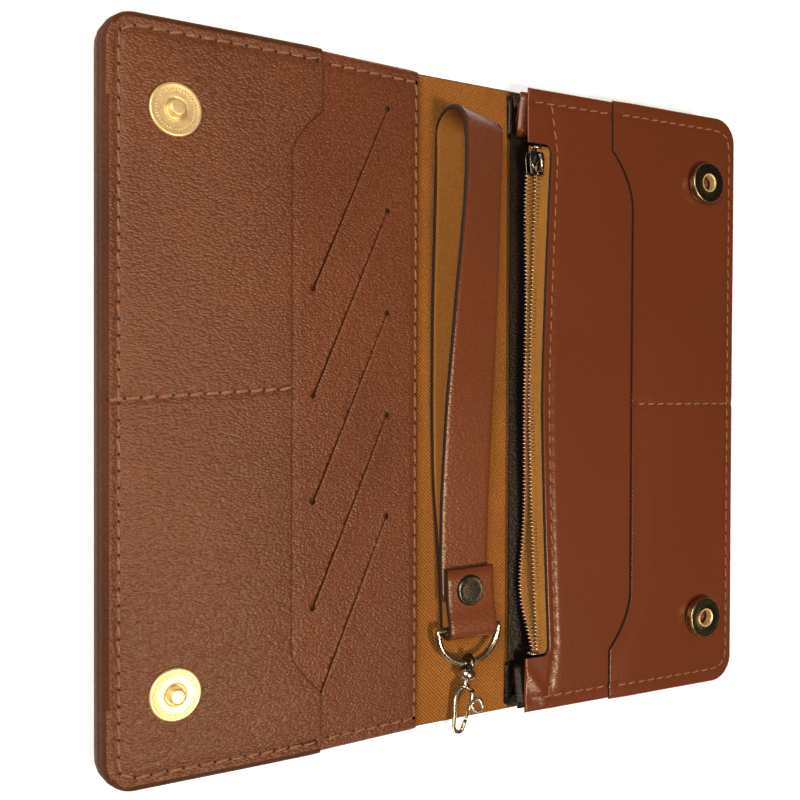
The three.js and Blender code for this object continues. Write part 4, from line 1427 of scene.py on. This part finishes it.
def build_strap():
    """The leather band: brown outside, suede inside, painted edges; and the rivet's cap."""
    line = strap_line()
    half = STRAP_HALF - 0.35
    section = strap_section(half, STRAP_SHEET / 2, 0.35)
    sides, count = len(section), len(line)
    travelled = np.r_[0, np.cumsum([np.linalg.norm(b - a) for a, b in zip(line, line[1:])])]
    table = np.array(STRAP_SWAY)
    table[:, 0] *= travelled[-1] / table[-1, 0]
    fine = np.linspace(0, travelled[-1], 400)
    window = np.hanning(31) / np.hanning(31).sum()

    def smoothed(column):
        values = np.pad(np.interp(fine, table[:, 0], column), 15, "edge")
        return np.interp(travelled, fine, np.convolve(values, window, "valid"))

    sway, roll = smoothed(table[:, 1]), smoothed(table[:, 2])
    verts, faces, finish = [], [], []
    for i, point in enumerate(line):
        before, after = line[max(i - 1, 0)], line[min(i + 1, count - 1)]
        along = (after - before) / np.linalg.norm(after - before)
        inner = np.array([0, -along[1], along[0]])
        turn = math.radians(roll[i])
        side = math.cos(turn) * np.array([1, 0, 0]) + math.sin(turn) * inner
        normal = math.cos(turn) * inner - math.sin(turn) * np.array([1, 0, 0])
        middle = np.array([sway[i], *point]) - inner * half * math.sin(turn) * 0.5
        skew = np.array([0, 0.035 if travelled[i] < 20 else 0.0, 0])
        for a, b in section:
            verts.append(middle + a * (side + skew) + b * normal)
    for i in range(count - 1):
        for k in range(sides):
            a, b = i * sides + k, i * sides + (k + 1) % sides
            faces.append((a, b, b + sides, a + sides))
            place = k % (sides // 2)
            on_edge = place >= FACE_POINTS - 1
            finish.append(1 if on_edge else (2 if k < sides // 2 else 0))
    faces.append(tuple(range(sides))[::-1])
    faces.append(tuple((count - 1) * sides + k for k in range(sides)))
    strap = mesh_object("strap_band", verts, faces, [STRAP, EDGE, SUEDE])
    for face, index in zip(strap.data.polygons, finish + [1, 1]):
        face.material_index = index
    fit(strap, "strap", "brown_leather", "strap_leather")

    radius = (cap_high[0] - cap_low[0]) / 2
    profile = [(0, -0.4), (radius * 0.8, -0.4), (radius, 0.1), (radius, 0.35), (radius - 0.18, 0.72)]
    profile += [(radius - 0.4, 0.98), (radius - 0.55, 1.02), (radius - 0.75, 0.97)]
    profile += [(radius * 0.6, 1.02), (0, 1.1)]
    cap = lathe("rivet_cap_dome", profile, GUNMETAL)
    seat(cap, (RING_X - 0.6, RIVET_Y, cap_low[2] - 0.15))
    fit(cap, "strap", "dark_metal", "rivet_cap")


def build_ring():
    """The D-ring: a bow and a nearly straight bar, one closed wire."""
    half = (ring_high[0] - ring_low[0]) / 2 - WIRE
    depth = RING_Y - ring_low[1] - WIRE
    loop = []
    for t in np.linspace(0, math.pi, 41):
        loop.append((RING_X - half * math.cos(t), RING_Y - depth * math.sin(t) ** 0.92, RING_Z))
    for t in np.linspace(0, 1, 14)[1:-1]:
        loop.append((RING_X + half - 2 * half * t, RING_Y + 0.25 * math.sin(math.pi * t), RING_Z))
    verts, faces = [], []
    tube_mesh(loop, WIRE, 16, verts, faces, closed=True)
    fit(mesh_object("d_ring_wire", verts, faces, NICKEL), "d_ring", "nickel", "d_ring")


YAW = math.radians(10.4)  # how far the clasp points off the strap's line
ROLL = math.radians(55)  # how far it is turned about its own length


def clasp_frame():
    """Along the clasp, across it towards the lever, and through its thickness."""
    along = Vector((-math.sin(YAW), -math.cos(YAW), 0))
    level = Vector((math.cos(YAW), -math.sin(YAW), 0))
    across = level * math.cos(ROLL) + Vector((0, 0, 1)) * math.sin(ROLL)
    through = along.cross(across)
    turn = Matrix((along, across, through)).transposed().to_4x4()
    origin = Vector((RING_X, ring_low[1] + WIRE, RING_Z)) * MM
    return Matrix.Translation(origin) @ turn


def build_clasp():
    """The eye with its swivel barrel, the hook, and the lever with its thumb ring."""
    place = clasp_frame()

    def add(name, verts, faces, material, body, slot, *nodes):
        piece = mesh_object(name, verts, faces, material)
        piece.data.transform(place)
        return fit(piece, body, slot, *nodes)

    verts, faces = [], []
    lean = math.pi / 2 - ROLL
    loop = []
    for t in np.linspace(0, 2 * math.pi, 32, endpoint=False):
        flat = np.array([2.1 * math.cos(t), 2.1 * math.sin(t), 0])
        loop.append((flat[0], flat[1] * math.cos(lean), flat[1] * math.sin(lean)))
    tube_mesh(loop, 0.8, 12, verts, faces, up=(0, -math.sin(lean), math.cos(lean)), closed=True)
    add("clasp_eye_loop", verts, faces, GUNMETAL, "clasp_eye", "dark_metal", "clasp_eye")
    verts, faces = [], []
    barrel = [(1.9, 1.4), (2.1, 2.3), (2.6, 2.7), (4.4, 2.7), (4.8, 2.3), (5.4, 1.2)]
    tube_mesh([(u, 0, 0) for u, _ in barrel], [r for _, r in barrel], 24, verts, faces, up=(0, 1, 0))
    add("clasp_barrel", verts, faces, NICKEL, "clasp_eye", "dark_metal")

    verts, faces = [], []
    neck = [(4.6, 0, 0), (6.2, 0, 0), (7.2, 0, 0), (8.0, 0, 0)]
    tube_mesh(neck, [1.0, 1.0, 1.5, 2.2], 14, verts, faces, up=(0, 0, 1), flat=0.7)
    body = [(7.4, 1.5), (7.4, 0), (7.8, -1.3), (9.0, -2.2), (11.5, -2.5), (14, -2.3), (17, -1.8)]
    for t in np.linspace(0, math.pi, 13)[1:]:
        body.append((19.8 + 1.7 * math.sin(t), -0.1 - 1.5 * math.cos(t)))
    body += [(18.4, 1.75), (17.3, 2.0)]
    path = [(u, v, 0) for u, v in body]
    radii = [0.75, 0.9, 0.9, 0.8, 0.7] + [0.62] * (len(path) - 7) + [0.6, 0.5]
    tube_mesh(path, radii, 12, verts, faces, up=(0, 0, 1), flat=1.6)
    add("clasp_hook_body", verts, faces, NICKEL, "clasp_hook", "nickel", "clasp_hook")

    verts, faces = [], []
    arm = [(7.7, 2.1, 0), (9, 2.7, 0), (11, 2.75, 0), (14, 2.4, 0), (16.7, 2.05, 0)]
    tube_mesh(arm, [0.85, 0.75, 0.62, 0.58, 0.5], 10, verts, faces, up=(0, 0, 1))
    thumb = []
    for t in np.linspace(0, 2 * math.pi, 24, endpoint=False):
        thumb.append((11.9 + 1.75 * math.cos(t), 4.85 + 1.65 * math.sin(t), 0))
    tube_mesh(thumb, 0.6, 10, verts, faces, closed=True)
    add("clasp_lever_arm", verts, faces, NICKEL, "clasp_lever", "nickel", "clasp_lever")


# ---------------------------------------------------------------- build


def dress(node, material):
    """Gives a CAD node that stays in view its finished material."""
    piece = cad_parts[node]
    piece.data.materials.clear()
    piece.data.materials.append(material)


build_front_shell()
build_padding()
build_card_panel()
build_front_pocket()
build_rear_shell()
build_linings()
build_gussets()
build_back_wall()
build_panel()
build_patch()
build_zip()
build_slider()
for end, sign in (("top", 1), ("bottom", -1)):
    build_male_snap(end)
    build_socket(end, sign)
    dress(f"male_washer_{end}", NICKEL)
    dress(f"socket_washer_{end}", NICKEL)
    dress(f"socket_magnet_{end}", GUNMETAL)
build_strap()
build_ring()
build_clasp()
dress("rivet_post", GUNMETAL)
dress("lever_pin", GUNMETAL)
dress("card_backing", BACKING)
